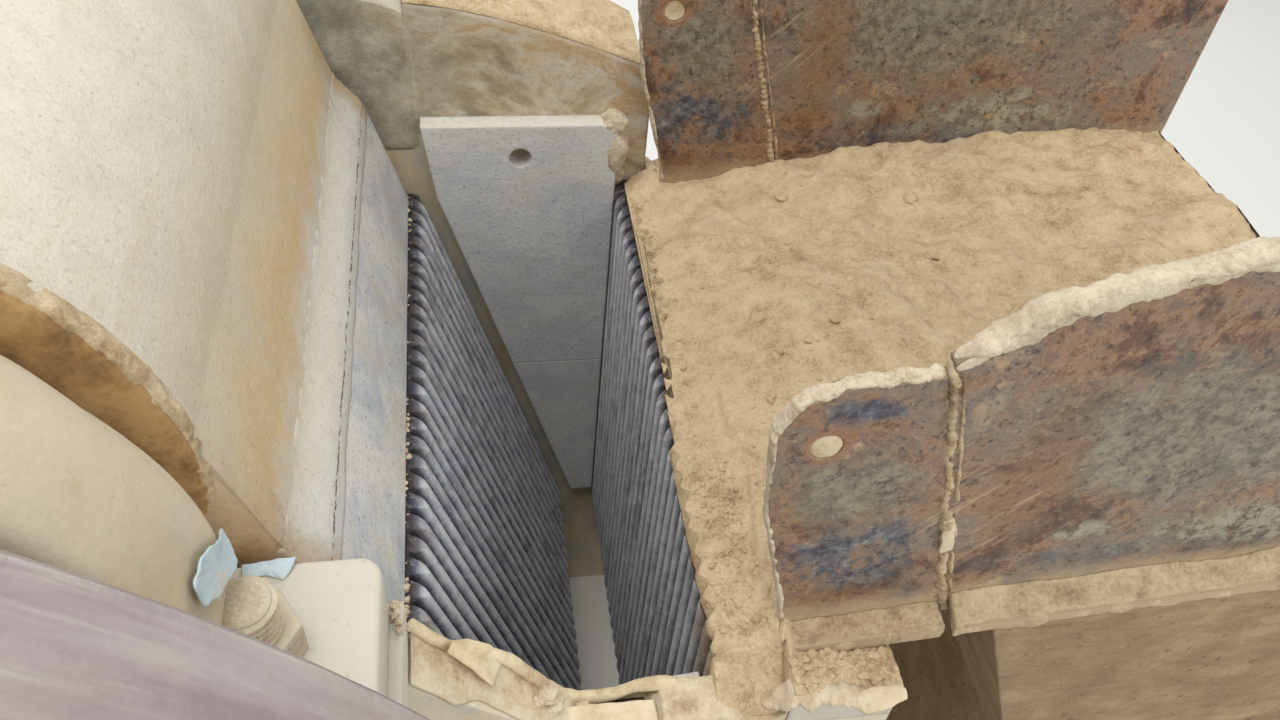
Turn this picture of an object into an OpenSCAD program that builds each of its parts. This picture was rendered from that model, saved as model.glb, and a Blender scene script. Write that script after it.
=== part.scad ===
// Single-toggle jaw crusher with its feed chute, standing on level ground.
// X runs along the machine: swing jaw at -X, fixed jaw and chute at +X. Y runs along the shaft, Z is up.
// The origin is on the ground, at the middle of the whole outline.
// Heights are above the ground. Lengths along X are taken from the lip, the top edge of the swing jaw's teeth.

/* [Crushing chamber] */
// Clear width of the chamber between the cheek plates
chamber_w = 650; // [500:5:900]
// Opening between the jaws at the top of the plates
gape = 250; // [200:5:320]
// Opening between the jaws at the bottom of the plates
discharge_gap = 50; // [40:1:90]
// Lean of the swing jaw's face from upright
jaw_tilt = 17; // [14:0.5:20]
// Height of the top of the jaw plates above the ground
mouth_z = 950; // [900:5:1100]

/* [Jaw plates] */
// Distance from tooth to tooth
tooth_pitch = 25; // [20:1:40]
// Height of a tooth over the groove beside it
tooth_h = 14; // [8:0.5:20]
// Thickness of a jaw plate from back to tooth tip
jaw_plate_t = 62; // [50:1:80]
// Radius on the top and bottom ends of the teeth
tooth_end_r = 22; // [10:1:30]
// Thickness of the cheek plates
cheek_t = 25; // [15:1:35]
// Height of the far cheek plate above the jaw plates
cheek_rise = 105; // [60:1:120]
// Depth of the broken near cheek plate's top below the jaw plates' top
near_cheek_drop = 90; // [20:5:200]
// Height of the joint between upper and lower cheek plates below the jaw plates' top
cheek_joint_drop = 310; // [200:5:400]
// Radius of the lifting hole in the far upper cheek plate
cheek_hole_r = 14; // [8:0.5:20]

/* [Swing jaw] */
// Throw of the eccentric: half of the stroke
throw = 10; // [6:0.5:12]
// Distance of the shaft behind the lip
shaft_back = 360; // [340:1:400]
// Height of the shaft above the jaw plates' top
shaft_up = 283; // [260:1:320]
// Radius of the barrel that holds the eccentric
barrel_r = 238; // [225:1:250]
// Width left free between the barrel's ends and the side walls
barrel_gap = 25; // [18:1:60]
// Thickness of the casting's front wall behind the plate
jaw_wall_t = 62; // [40:1:80]
// Thickness of the casting's ribs
jaw_rib_t = 36; // [25:1:50]
// Width left free between the swing jaw and each side wall
side_clearance = 7; // [5:0.5:10]
// Free space between the swing jaw plate's tips and the cheek plates' edge
cheek_clearance = 20; // [16:0.5:30]
// Height of the clamp bar over the jaw plate
clamp_bar_h = 150; // [100:1:170]
// Thickness of the clamp bar
clamp_bar_t = 15; // [8:0.5:20]
// Thickness of the rings that close the barrel's ends
end_ring_t = 12; // [8:1:15]

/* [Shaft and flywheels] */
// Radius of the shaft in the frame's bearings
journal_r = 75; // [60:1:90]
// Radius of the eccentric part of the shaft
eccentric_r = 98; // [90:1:105]
// Radius of the shaft's ends inside the flywheels
wheel_seat_r = 68; // [55:1:72]
// Running clearance on the radius of bearings
bearing_clearance = 0.08; // [0.05:0.01:0.1]
// Radius of the flywheels
flywheel_r = 473; // [440:1:500]
// Width of the flywheel rims
rim_w = 112; // [80:1:140]
// Thickness of the flywheel rims
rim_t = 72; // [50:1:90]
// Distance from the machine's middle to the inner edge of the rims
rim_inner_y = 640; // [620:1:680]
// Thickness of the flywheel webs
web_t = 34; // [25:1:50]
// Radius of the flywheel hubs
hub_r = 128; // [110:1:150]
// How far the hubs stand inwards of the rims
hub_reach = 70; // [30:1:80]
// Radius of the holes in the webs
web_hole_r = 62; // [40:1:80]
// Number of holes in each web
web_holes = 5; // [4:1:6]
// Number of belt grooves in the far flywheel
belt_grooves = 5; // [3:1:6]
// Distance between belt grooves
belt_pitch = 19; // [19:0.5:22]
// Depth of the belt grooves
belt_groove_d = 15; // [10:0.5:20]

/* [Bearing housings] */
// Outer radius of the housings
housing_r = 262; // [250:1:275]
// Width of the housings along the shaft
housing_w = 138; // [120:1:160]
// Half of the length of a housing's foot
foot_half = 345; // [330:1:360]
// Thickness of the foot
foot_t = 65; // [50:1:75]
// Radius of the foot's upright corners
foot_corner_r = 16; // [5:1:30]
// Height of the seat under the foot, above the jaw plates' top
seat_up = 135; // [120:1:150]
// Radius of the holding-down studs
stud_r = 18; // [14:0.5:20]
// Distance from the stud to the end of the foot
stud_inset = 76; // [60:1:85]
// Thickness of the end covers
cover_t = 16; // [10:1:20]
// Radius of the end covers
cover_r = 158; // [140:1:175]

/* [Frame] */
// Thickness of the side walls
wall_t = 45; // [30:1:60]
// Thickness of the front wall
front_wall_t = 55; // [40:1:70]
// Thickness of the rear wall
rear_wall_t = 55; // [40:1:70]
// Distance of the rear wall's back behind the lip
rear_wall_back = 615; // [600:1:640]
// Height of the rear wall's top
rear_wall_top = 760; // [700:5:800]
// Height of the rear wall's lower edge
rear_wall_bottom = 150; // [120:5:180]
// Distance of the side walls' rear edge behind the lip
wall_rear = 720; // [710:1:760]
// Depth of the ribs on the front wall's outer side
front_rib_d = 43; // [30:1:70]
// Depth of the far wall's top beside the mouth below the jaw plates' top
wall_drop = 6; // [0:1:30]
// Depth of the worn near wall's top beside the mouth below the jaw plates' top
near_wall_drop = 48; // [10:1:80]
// Distance in front of the lip where a side wall's top has come down to the mouth
wall_slope_end = 130; // [80:1:180]
// Height of the far guard plate's back end above the jaw plates' top
guard_rise = 252; // [220:1:280]
// Height of the far guard plate's front end above the jaw plates' top
guard_front_rise = 172; // [130:1:200]
// Distance from the lip to the far guard plate's front end
guard_front = 292; // [270:1:330]
// Thickness of the flange along the far guard plate's top
guard_flange_t = 28; // [15:1:45]
// Thickness of the seat beams
seat_beam_t = 46; // [35:1:60]
// Width of the base flanges
flange_w = 110; // [90:1:130]
// Thickness of the base flanges
flange_t = 40; // [30:1:50]
// Radius of the anchor-bolt holes
anchor_r = 17; // [12:0.5:22]
// Distance of the anchor-bolt holes from the side walls' ends
anchor_inset = 110; // [90:5:160]
// Thickness of the frame's ribs
rib_t = 30; // [20:1:40]
// Distance between the upright ribs of the side walls
wall_rib_pitch = 180; // [140:5:220]
// Height of the front wall's lowest rib
front_rib_z = 220; // [180:5:300]
// Distance between the front wall's ribs
front_rib_pitch = 250; // [180:5:270]

/* [Toggle and tension rods] */
// Radius of the toggle plate's rounded ends
toggle_end_r = 22; // [18:1:26]
// Thickness of the toggle plate between its ends
toggle_t = 30; // [22:1:36]
// Slope of the toggle plate, rear end higher
toggle_slope = 15; // [10:1:18]
// Distance of the rear toggle seat behind the lip
toggle_rear = 430; // [420:1:450]
// Width of the toggle plate
toggle_w = 560; // [300:5:640]
// Radius of the tension rods
tension_rod_r = 15; // [10:0.5:18]
// Distance of each tension rod from the machine's middle
tension_rod_y = 170; // [120:5:220]
// Radius of the pins at the tension rods' front ends
tension_pin_r = 13; // [10:0.5:15]
// Mean radius of the tension springs
spring_r = 40; // [32:1:46]
// Radius of the spring wire
spring_wire_r = 8; // [5:0.5:9]
// Length of the fitted springs
spring_len = 130; // [110:1:150]
// Turns in each spring
spring_turns = 6; // [5:1:7]

/* [Feed chute] */
// Distance of the chute's end from the lip
chute_end = 1000; // [900:5:1200]
// Clear width between the chute walls
chute_w = 636; // [500:2:640]
// Thickness of the chute's plates
chute_t = 12; // [8:1:16]
// Rise of the chute floor from the ledge to its end
chute_rise = 62; // [40:1:90]
// Height of the chute walls above their foot
chute_wall_h = 400; // [340:5:450]
// Radius of the hole in each wing plate
wing_hole_r = 13; // [8:0.5:16]
// Width of the lip along the foot of the chute's plates
lip_w = 26; // [15:1:35]
// Distance of the supporting block's near end from the lip
block_start = 505; // [480:5:560]
// How far the block's top stands out towards the machine
block_overhang = 125; // [0:5:200]
// Height over which the block widens to its top
block_flare_h = 320; // [200:10:500]

/* [Hidden] */
$fn = 96;

near = -1;
far = 1;
fit_gap = 0.3;
through = 2;

// The lip's place along X puts the origin at the middle of the outline
outline_rear = -shaft_back - flywheel_r;
lip_x = -(outline_rear + chute_end) / 2;

wall_y = chamber_w / 2 + cheek_t;
barrel_len = 2 * (wall_y - barrel_gap);
seat_z = mouth_z + seat_up;
shaft_z = mouth_z + shaft_up;
plate_len = (gape - discharge_gap) / sin(jaw_tilt);
plate_bottom_z = mouth_z - plate_len * cos(jaw_tilt);
fixed_plate_top = mouth_z + 5;
fixed_plate_bottom = plate_bottom_z - 5;
swing_half_w = wall_y - side_clearance;
front_wall_x = gape + jaw_plate_t;
wall_front = front_wall_x + front_wall_t + front_rib_d;
front_ledge_t = 45;
front_wall_bottom = 120;
plate_shelf_h = 40;

// The eccentric's centre in the swing jaw's own frame: x out of its face, z up along it
axis_x = -shaft_back * cos(jaw_tilt) + (shaft_up - throw) * sin(jaw_tilt);
axis_z = shaft_back * sin(jaw_tilt) + (shaft_up - throw) * cos(jaw_tilt);
jaw_front_x = axis_x + barrel_r - 4;
pocket_top = 2;
toe_h = 42;
toggle_beam_rear = -jaw_plate_t - 172;
toggle_beam_top = -plate_len + 144;
toggle_beam_h = 100;
toggle_gap = throw + 6;
seat_groove_r = toggle_end_r + toggle_gap;
toggle_seat_x = toggle_beam_rear;
toggle_seat_z = toggle_beam_top - toggle_beam_h / 2;
jaw_back_x = -jaw_plate_t - jaw_wall_t;
eye_hole_r = tension_pin_r + throw + 6;
eye_r = eye_hole_r + 12;
pin_x = jaw_back_x - eye_r - throw - 10;
pin_z = -plate_len - 31;

// A point of the swing jaw's frame, seen from the lip at the jaw plates' top
function jaw_to_lip(x, z) = [
    x * cos(jaw_tilt) - z * sin(jaw_tilt),
    x * sin(jaw_tilt) + z * cos(jaw_tilt) + mouth_z
];

// The jaw circles round these places, and stands lowest at rest
toggle_front = jaw_to_lip(toggle_seat_x, toggle_seat_z) + [0, throw];
toggle_back = [-toggle_rear, toggle_front[1] + (toggle_front[0] + toggle_rear) * tan(toggle_slope)];
rod_eye = jaw_to_lip(pin_x, pin_z) + [0, throw];

dust = "#cdb78c";
worn_steel = "#8d9096";
tooth_steel = "#7d8694";
oily_steel = "#5b4a40";
wheel_paint = "#6b5a66";
concrete = "#9a8464";

// Draws in the frame whose X starts at the lip
module at_lip() {
    translate([lip_x, 0, 0]) children();
}

// Draws on the near side or on the far side; children are made for the far side
module on_side(side) {
    if (side == near) mirror([0, 1, 0]) children();
    else children();
}

// Carries an outline drawn in X and Z from one place along the shaft to another
module along_shaft(y0, y1) {
    translate([0, y1, 0]) rotate([90, 0, 0]) linear_extrude(y1 - y0) children();
}

// A round bar along the shaft's direction
module round_bar(x, z, r, y0, y1) {
    translate([x, y0, z]) rotate([-90, 0, 0]) cylinder(h = y1 - y0, r = r);
}

// Draws in the swing jaw's own frame
module on_jaw() {
    at_lip() translate([0, 0, mouth_z]) rotate([0, -jaw_tilt, 0]) children();
}

// The sloping top of a side wall, from the housing's seat down to its top beside the mouth
slope_start = -shaft_back + foot_half + 10;
slope_steps = 6;
function wall_slope(drop, bend) = let (rise = seat_up - seat_beam_t + drop)
    [for (i = [0 : slope_steps]) let (t = i / slope_steps)
        [slope_start + t * (wall_slope_end - slope_start), mouth_z - drop + rise * pow(1 - t, bend)]];
far_bend = 1.25;
near_bend = 0.9;

function wall_outline(drop, bend) = concat(
    [[-wall_rear, 0], [wall_front, 0], [wall_front, mouth_z - front_ledge_t]],
    [[front_wall_x, mouth_z - front_ledge_t], [front_wall_x, mouth_z - drop]],
    [for (i = [slope_steps : -1 : 0]) wall_slope(drop, bend)[i]],
    [[-wall_rear, seat_z - seat_beam_t]]
);

module side_wall(side, drop, bend) {
    color(dust) at_lip() on_side(side)
        along_shaft(wall_y, wall_y + wall_t) polygon(wall_outline(drop, bend));
}
module near_side_wall() { side_wall(near, near_wall_drop, near_bend); }
module far_side_wall() { side_wall(far, wall_drop, far_bend); }

stud_nut_r = stud_r * 1.75;
stud_nut_h = stud_r * 1.6;
stud_top = 60;
stud_y = wall_y + housing_w / 2;

// The guard plate's top edge, from its front end back to the housing's foot
guard_steps = 5;
function guard_edge(below) = let (x0 = guard_front - guard_corner) concat(
    [[x0, mouth_z + guard_front_rise - below]],
    [for (i = [1 : guard_steps]) let (t = i / guard_steps)
        [x0 - t * (x0 - slope_start),
         mouth_z + guard_front_rise - below + (guard_rise - guard_front_rise) * (1 - pow(1 - t, 1.5))]]
);
guard_corner = 14;

// Cast guard plate that stands on the far wall beside the mouth, with a flange along its top
module far_guard_plate() {
    foot_x = guard_front - 20;
    color(dust) at_lip() {
        along_shaft(wall_y, wall_y + wall_t) polygon(concat(
            wall_slope(wall_drop, far_bend),
            [[foot_x, mouth_z - wall_drop], [guard_front, mouth_z + 30],
             [guard_front, mouth_z + guard_front_rise - guard_corner]],
            guard_edge(0)
        ));
        along_shaft(wall_y + wall_t - through, wall_y + housing_w) polygon(concat(
            guard_edge(0),
            [for (i = [guard_steps : -1 : 0]) guard_edge(guard_flange_t)[i]]
        ));
    }
}

// The seat beam closes the wall's top under the housing's foot
module seat_beam(side) {
    color(dust) at_lip() on_side(side) difference() {
        translate([-shaft_back - foot_half - 10, wall_y, seat_z - seat_beam_t])
            cube([2 * foot_half + 20, housing_w, seat_beam_t]);
        for (end = [-1, 1])
            translate([-shaft_back + end * (foot_half - stud_inset), stud_y, seat_z - seat_beam_t - through])
                cylinder(h = seat_beam_t + 2 * through, r = stud_r + fit_gap);
    }
}
module near_seat_beam() { seat_beam(near); }
module far_seat_beam() { seat_beam(far); }

module base_flange(side) {
    color(dust) at_lip() on_side(side) difference() {
        translate([-wall_rear, wall_y + wall_t, 0]) cube([wall_rear + wall_front, flange_w, flange_t]);
        for (x = [-wall_rear + anchor_inset, wall_front - anchor_inset])
            translate([x, wall_y + wall_t + flange_w * 0.6, -through])
                cylinder(h = flange_t + 2 * through, r = anchor_r);
    }
}
module near_base_flange() { base_flange(near); }
module far_base_flange() { base_flange(far); }

// Upright ribs from the base flange to the seat beam
module wall_ribs(side) {
    color(dust) at_lip() on_side(side)
        for (x = concat(-wall_rear, [for (k = [-1 : 1]) k * wall_rib_pitch - shaft_back]))
            translate([x, wall_y + wall_t, flange_t]) rotate([90, 0, 90]) linear_extrude(rib_t) rib_side();
}

// Outline of an upright rib: wide at its foot and under the seat beam, narrow between
module rib_side() {
    rib_h = seat_z - seat_beam_t - flange_t;
    foot_h = 220;
    head_h = 160;
    waist = flange_w * 0.4;
    polygon([
        [0, 0], [flange_w * 0.75, 0], [waist, foot_h], [waist, rib_h - head_h],
        [housing_w - wall_t - 6, rib_h], [0, rib_h]
    ]);
}
module near_wall_ribs() { wall_ribs(near); }
module far_wall_ribs() { wall_ribs(far); }

module front_wall() {
    shelf_x = front_wall_x - jaw_plate_t + tooth_h;
    color(dust) at_lip() along_shaft(-wall_y, wall_y) polygon([
        [front_wall_x, front_wall_bottom], [front_wall_x + front_wall_t, front_wall_bottom],
        [front_wall_x + front_wall_t, mouth_z - front_ledge_t], [front_wall_x, mouth_z - front_ledge_t],
        [front_wall_x, fixed_plate_bottom - fit_gap], [shelf_x, fixed_plate_bottom - fit_gap],
        [shelf_x, fixed_plate_bottom - plate_shelf_h], [front_wall_x, fixed_plate_bottom - plate_shelf_h - 30]
    ]);
}

module front_wall_ribs() {
    color(dust) at_lip() for (k = [0 : 2])
        translate([front_wall_x + front_wall_t, -wall_y, front_rib_z + k * front_rib_pitch])
            cube([front_rib_d, 2 * wall_y, rib_t]);
}

// The ledge over the front wall and the walls' front ends carries the chute's foot
module front_ledge() {
    half = wall_y + wall_t;
    color(dust) at_lip() translate([front_wall_x, -half, mouth_z - front_ledge_t])
        cube([wall_front - front_wall_x, 2 * half, front_ledge_t]);
}

module rear_wall() {
    color(dust) at_lip() difference() {
        translate([-rear_wall_back, -wall_y, rear_wall_bottom])
            cube([rear_wall_t, 2 * wall_y, rear_wall_top - rear_wall_bottom]);
        for (s = [-1, 1])
            translate([-rear_wall_back - through, s * tension_rod_y, rod_eye[1]]) rotate([0, 90, 0])
                cylinder(h = rear_wall_t + 2 * through, r = tension_rod_r + 8);
    }
}

block_h = 130;
block_w = toggle_w + 60;
block_front = toggle_rear + 8;
block_back = rear_wall_back - rear_wall_t - 24;

// Guides over and under the toggle block, and a rib along the wall's back
module rear_wall_ribs() {
    front = rear_wall_back - rear_wall_t;
    color(dust) at_lip() {
        for (s = [-1, 1])
            translate([-front, -wall_y, toggle_back[1] + s * (block_h / 2 + fit_gap + rib_t / 2) - rib_t / 2])
                cube([front - block_front - 24, 2 * wall_y, rib_t]);
        for (z = [rear_wall_bottom + 170, rear_wall_top - rib_t])
            translate([-wall_rear + 20, -wall_y, z]) cube([wall_rear - 20 - rear_wall_back, 2 * wall_y, rib_t]);
    }
}

module shim_pack() {
    front = rear_wall_back - rear_wall_t;
    color(worn_steel) at_lip()
        translate([-front, -block_w / 2, toggle_back[1] - block_h / 2 + 4])
            cube([front - block_back, block_w, block_h - 8]);
}

module toggle_block() {
    color(worn_steel) at_lip() difference() {
        translate([-block_back, -block_w / 2, toggle_back[1] - block_h / 2])
            cube([block_back - block_front, block_w, block_h]);
        round_bar(toggle_back[0], toggle_back[1], toggle_end_r + fit_gap, -block_w, block_w);
    }
}

module toggle_plate() {
    run = toggle_front - toggle_back;
    length = norm(run);
    color(worn_steel) at_lip() translate([toggle_back[0], 0, toggle_back[1]])
        rotate([0, toggle_slope, 0]) along_shaft(-toggle_w / 2, toggle_w / 2) {
            circle(toggle_end_r);
            translate([length, 0]) circle(toggle_end_r);
            translate([0, -toggle_t / 2]) square([length, toggle_t]);
        }
}

// One tooth of a jaw plate, as steps from groove to crest and back
function tooth(y0) = [
    for (p = [[0, 0], [0.1, 0.08], [0.2, 0.55], [0.3, 0.86], [0.42, 1], [0.58, 1], [0.7, 0.86], [0.8, 0.55], [0.9, 0.08]])
        [y0 + p[0] * tooth_pitch, -tooth_h + p[1] * tooth_h]
];

// Outline across a toothed plate: x along the shaft, y out of the face, tooth tips at 0
module tooth_profile(half_w, phase) {
    first = -floor(half_w / tooth_pitch + 2) + phase;
    count = 2 * floor(half_w / tooth_pitch + 2);
    intersection() {
        translate([-half_w, -jaw_plate_t]) square([2 * half_w, jaw_plate_t]);
        polygon(concat(
            [[first * tooth_pitch, -jaw_plate_t - 1]],
            [for (i = [0 : count - 1]) each tooth((first + i) * tooth_pitch)],
            [[(first + count) * tooth_pitch, -jaw_plate_t - 1]]
        ));
    }
}

// Outline of a plate seen along the shaft, with rounded tooth ends: x out of the face, z up
module plate_side(length) {
    translate([-jaw_plate_t, -length]) difference() {
        square([jaw_plate_t, length]);
        for (end = [0, 1]) translate([jaw_plate_t, end * length]) mirror([0, end, 0]) difference() {
            translate([-tooth_end_r, -1]) square([tooth_end_r + 1, tooth_end_r + 1]);
            translate([-tooth_end_r, tooth_end_r]) circle(tooth_end_r);
        }
    }
}

// A jaw plate whose tips lie in the plane x = 0 and whose top is at z = 0
module jaw_plate(half_w, length, phase) {
    intersection() {
        translate([0, 0, -length]) mirror([1, -1, 0]) linear_extrude(length) tooth_profile(half_w, phase);
        along_shaft(-half_w, half_w) plate_side(length);
    }
}

module fixed_jaw_plate() {
    color(tooth_steel) at_lip() translate([gape, 0, fixed_plate_top]) mirror([1, 0, 0])
        jaw_plate(wall_y - fit_gap, fixed_plate_top - fixed_plate_bottom, 0);
}

module swing_jaw_plate() {
    color(tooth_steel) on_jaw() jaw_plate(swing_half_w, plate_len, 0.5);
}

// Edge of the cheek plates beside the swing jaw at a height below the jaw plates' top
function cheek_edge(drop) = cheek_clearance / cos(jaw_tilt) + drop * tan(jaw_tilt);

// The far upper cheek plate stands above the mouth, with a lifting hole
module far_cheek_plate() {
    right = gape - fit_gap;
    corner_r = 18;
    color(worn_steel) at_lip() along_shaft(chamber_w / 2, wall_y)
        translate([0, mouth_z]) difference() {
            union() {
                polygon([
                    [6, cheek_rise], [cheek_edge(0), 0], [cheek_edge(cheek_joint_drop), -cheek_joint_drop],
                    [right, -cheek_joint_drop], [right, cheek_rise - corner_r],
                    [right - corner_r, cheek_rise - corner_r], [right - corner_r, cheek_rise]
                ]);
                translate([right - corner_r, cheek_rise - corner_r]) circle(corner_r);
            }
            translate([gape / 2 + 2, cheek_rise - 46]) circle(cheek_hole_r);
        }
}

// The near one has lost its top
module near_cheek_plate() {
    right = gape - fit_gap;
    break_rise = 22;
    color(worn_steel) at_lip() on_side(near) along_shaft(chamber_w / 2, wall_y)
        translate([0, mouth_z]) polygon([
            [cheek_edge(near_cheek_drop), -near_cheek_drop], [cheek_edge(cheek_joint_drop), -cheek_joint_drop],
            [right, -cheek_joint_drop], [right, -near_cheek_drop + break_rise],
            [right - 60, -near_cheek_drop + break_rise * 0.6], [right - 95, -near_cheek_drop]
        ]);
}

module near_lower_cheek() { lower_cheek(near); }
module far_lower_cheek() { lower_cheek(far); }
module lower_cheek(side) {
    bottom = mouth_z - plate_bottom_z;
    right = gape - fit_gap;
    color(worn_steel) at_lip() on_side(side) along_shaft(chamber_w / 2, wall_y)
        translate([0, mouth_z]) polygon([
            [cheek_edge(cheek_joint_drop), -cheek_joint_drop - fit_gap], [cheek_edge(bottom - 25), -bottom + 25],
            [right, -bottom + 25], [right, -cheek_joint_drop - fit_gap]
        ]);
}

module near_bearing_housing() { bearing_housing(near); }
module far_bearing_housing() { bearing_housing(far); }
module bearing_housing(side) {
    rise = shaft_z - seat_z;
    shoulder_w = 46;
    shoulder_d = 22;
    color(dust) at_lip() on_side(side) translate([-shaft_back, 0, seat_z]) difference() {
        union() {
            intersection() {
                translate([0, 0, rise]) rotate([-90, 0, 0]) rotate_extrude() polygon([
                    [journal_r + bearing_clearance, wall_y], [housing_r - shoulder_d, wall_y],
                    [housing_r, wall_y + shoulder_w], [housing_r, wall_y + housing_w - 6],
                    [housing_r - 6, wall_y + housing_w], [journal_r + bearing_clearance, wall_y + housing_w]
                ]);
                translate([-housing_r - 1, 0, 0]) cube([2 * housing_r + 2, 2 * wall_y + housing_w, rise + housing_r + 1]);
            }
            translate([0, wall_y + housing_w / 2, 0]) linear_extrude(foot_t)
                rounded_box(2 * foot_half, housing_w, foot_corner_r);
        }
        round_bar(0, rise, journal_r + bearing_clearance, wall_y - through, wall_y + housing_w + through);
        for (end = [-1, 1]) translate([end * (foot_half - stud_inset), stud_y, 0]) {
            translate([0, 0, -through]) cylinder(h = foot_t + 2 * through, r = stud_r + fit_gap);
            translate([0, 0, foot_t]) cylinder(h = stud_nut_h + 10, r = stud_nut_r + 4);
            translate([0, 0, foot_t]) cylinder(h = stud_top + 8, r = stud_r + 4);
        }
    }
}

// A rectangle round the origin, with rounded corners
module rounded_box(length, width, r) {
    square([length - 2 * r, width], center = true);
    square([length, width - 2 * r], center = true);
    for (x = [-1, 1], y = [-1, 1])
        translate([x * (length / 2 - r), y * (width / 2 - r)]) circle(r);
}

module near_end_cover() { end_cover(near); }
module far_end_cover() { end_cover(far); }
module end_cover(side) {
    color(dust) at_lip() on_side(side) difference() {
        union() {
            round_bar(-shaft_back, shaft_z, cover_r, wall_y + housing_w, wall_y + housing_w + cover_t);
            round_bar(-shaft_back, shaft_z, journal_r + 26, wall_y + housing_w, wall_y + housing_w + cover_t + 10);
        }
        round_bar(-shaft_back, shaft_z, journal_r + 2, wall_y, wall_y + housing_w + cover_t + 20);
    }
}

module near_housing_studs() { housing_studs(near); }
module far_housing_studs() { housing_studs(far); }
module housing_studs(side) {
    tail = 12;
    color(dust) at_lip() on_side(side) for (end = [-1, 1])
        translate([-shaft_back + end * (foot_half - stud_inset), stud_y, seat_z]) {
            translate([0, 0, -seat_beam_t - tail])
                cylinder(h = seat_beam_t + tail + foot_t + stud_top, r = stud_r);
            translate([0, 0, foot_t]) cylinder(h = stud_nut_h, r = stud_nut_r, $fn = 6);
        }
}

spring_start = rear_wall_back + 12;
rod_end = spring_start + spring_len + 60;

// Rods with an eye at the front, washers on both ends of the spring and nuts behind
module tension_rods() {
    color(worn_steel) at_lip() for (s = [-1, 1]) translate([0, s * tension_rod_y, rod_eye[1]]) {
        difference() {
            union() {
                translate([-rod_end, 0, 0]) rotate([0, 90, 0])
                    cylinder(h = rod_end + rod_eye[0] - eye_hole_r - 4, r = tension_rod_r);
                round_bar(rod_eye[0], 0, eye_r, -tension_rod_r, tension_rod_r);
                translate([-spring_start - spring_len - 12, 0, 0]) rotate([0, 90, 0]) cylinder(h = 12, r = spring_r + 14);
                translate([-spring_start - spring_len - 36, 0, 0]) rotate([0, 90, 0]) cylinder(h = 24, r = 27, $fn = 6);
            }
            round_bar(rod_eye[0], 0, eye_hole_r, -tension_rod_r - through, tension_rod_r + through);
        }
    }
}

spring_steps = 20;
spring_sides = 8;
function spring_ring(k) = let (
        a = 360 * k / spring_steps,
        rise = (spring_len - 2 * spring_wire_r - 2 * fit_gap) * k / (spring_steps * spring_turns)
    ) [for (j = [0 : spring_sides - 1]) let (b = 360 * j / spring_sides)
        [-rise - spring_wire_r - fit_gap + spring_wire_r * sin(b),
         (spring_r + spring_wire_r * cos(b)) * cos(a),
         (spring_r + spring_wire_r * cos(b)) * sin(a)]];

module coil_spring() {
    rings = spring_steps * spring_turns;
    points = [for (k = [0 : rings]) each spring_ring(k)];
    faces = concat(
        [[for (j = [spring_sides - 1 : -1 : 0]) j]],
        [for (k = [0 : rings - 1], j = [0 : spring_sides - 1]) let (
                a = k * spring_sides + j,
                b = k * spring_sides + (j + 1) % spring_sides
            ) each [[a, b, b + spring_sides], [a, b + spring_sides, a + spring_sides]]],
        [[for (j = [0 : spring_sides - 1]) rings * spring_sides + j]]
    );
    polyhedron(points, faces);
}

module tension_springs() {
    color(worn_steel) at_lip() for (s = [-1, 1])
        translate([-spring_start, s * tension_rod_y, rod_eye[1]]) {
            coil_spring();
            difference() {
                rotate([0, 90, 0]) cylinder(h = spring_start - rear_wall_back, r = spring_r + 14);
                translate([-1, 0, 0]) rotate([0, 90, 0])
                    cylinder(h = spring_start - rear_wall_back + 2, r = tension_rod_r + 1);
            }
        }
}

// Height of the chute floor's underside at a distance from the lip, and of its upper side
chute_start = front_wall_x + 4;
function chute_under(x) = mouth_z + (x - chute_start) / (chute_end - chute_start) * chute_rise;
function chute_z(x) = chute_under(x) + chute_t;

module chute_floor() {
    color(oily_steel) at_lip() along_shaft(-chute_w / 2, chute_w / 2) polygon([
        [chute_start, chute_under(chute_start)], [chute_end, chute_under(chute_end)],
        [chute_end, chute_z(chute_end)], [chute_start, chute_z(chute_start)]
    ]);
}

wing_foot_end = front_wall_x + 151;
wing_top_end = front_wall_x + 65;
wing_top = mouth_z + chute_wall_h - 72;
seam_gap = 1;

// Side plate of the chute beyond the seam, with a lip along its foot
module chute_wall(side) {
    foot_x = wing_foot_end + seam_gap;
    lip_x0 = wing_foot_end + 12;
    top = mouth_z + chute_wall_h;
    color(oily_steel) at_lip() on_side(side) {
        along_shaft(chute_w / 2, chute_w / 2 + chute_t) polygon([
            [foot_x, chute_under(foot_x)], [chute_end, chute_under(chute_end)],
            [chute_end, top + 60], [wing_foot_end + 157, top + 40],
            [wing_foot_end + 12, top], [wing_top_end + 57, top - 18], [wing_top_end + seam_gap, top - 59]
        ]);
        along_shaft(chute_w / 2 + chute_t, chute_w / 2 + chute_t + lip_w) polygon([
            [lip_x0, chute_under(lip_x0)], [chute_end, chute_under(chute_end)],
            [chute_end, chute_z(chute_end) + 2], [lip_x0, chute_z(lip_x0) + 2]
        ]);
    }
}
module near_chute_wall() { chute_wall(near); }
module far_chute_wall() { chute_wall(far); }

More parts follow.
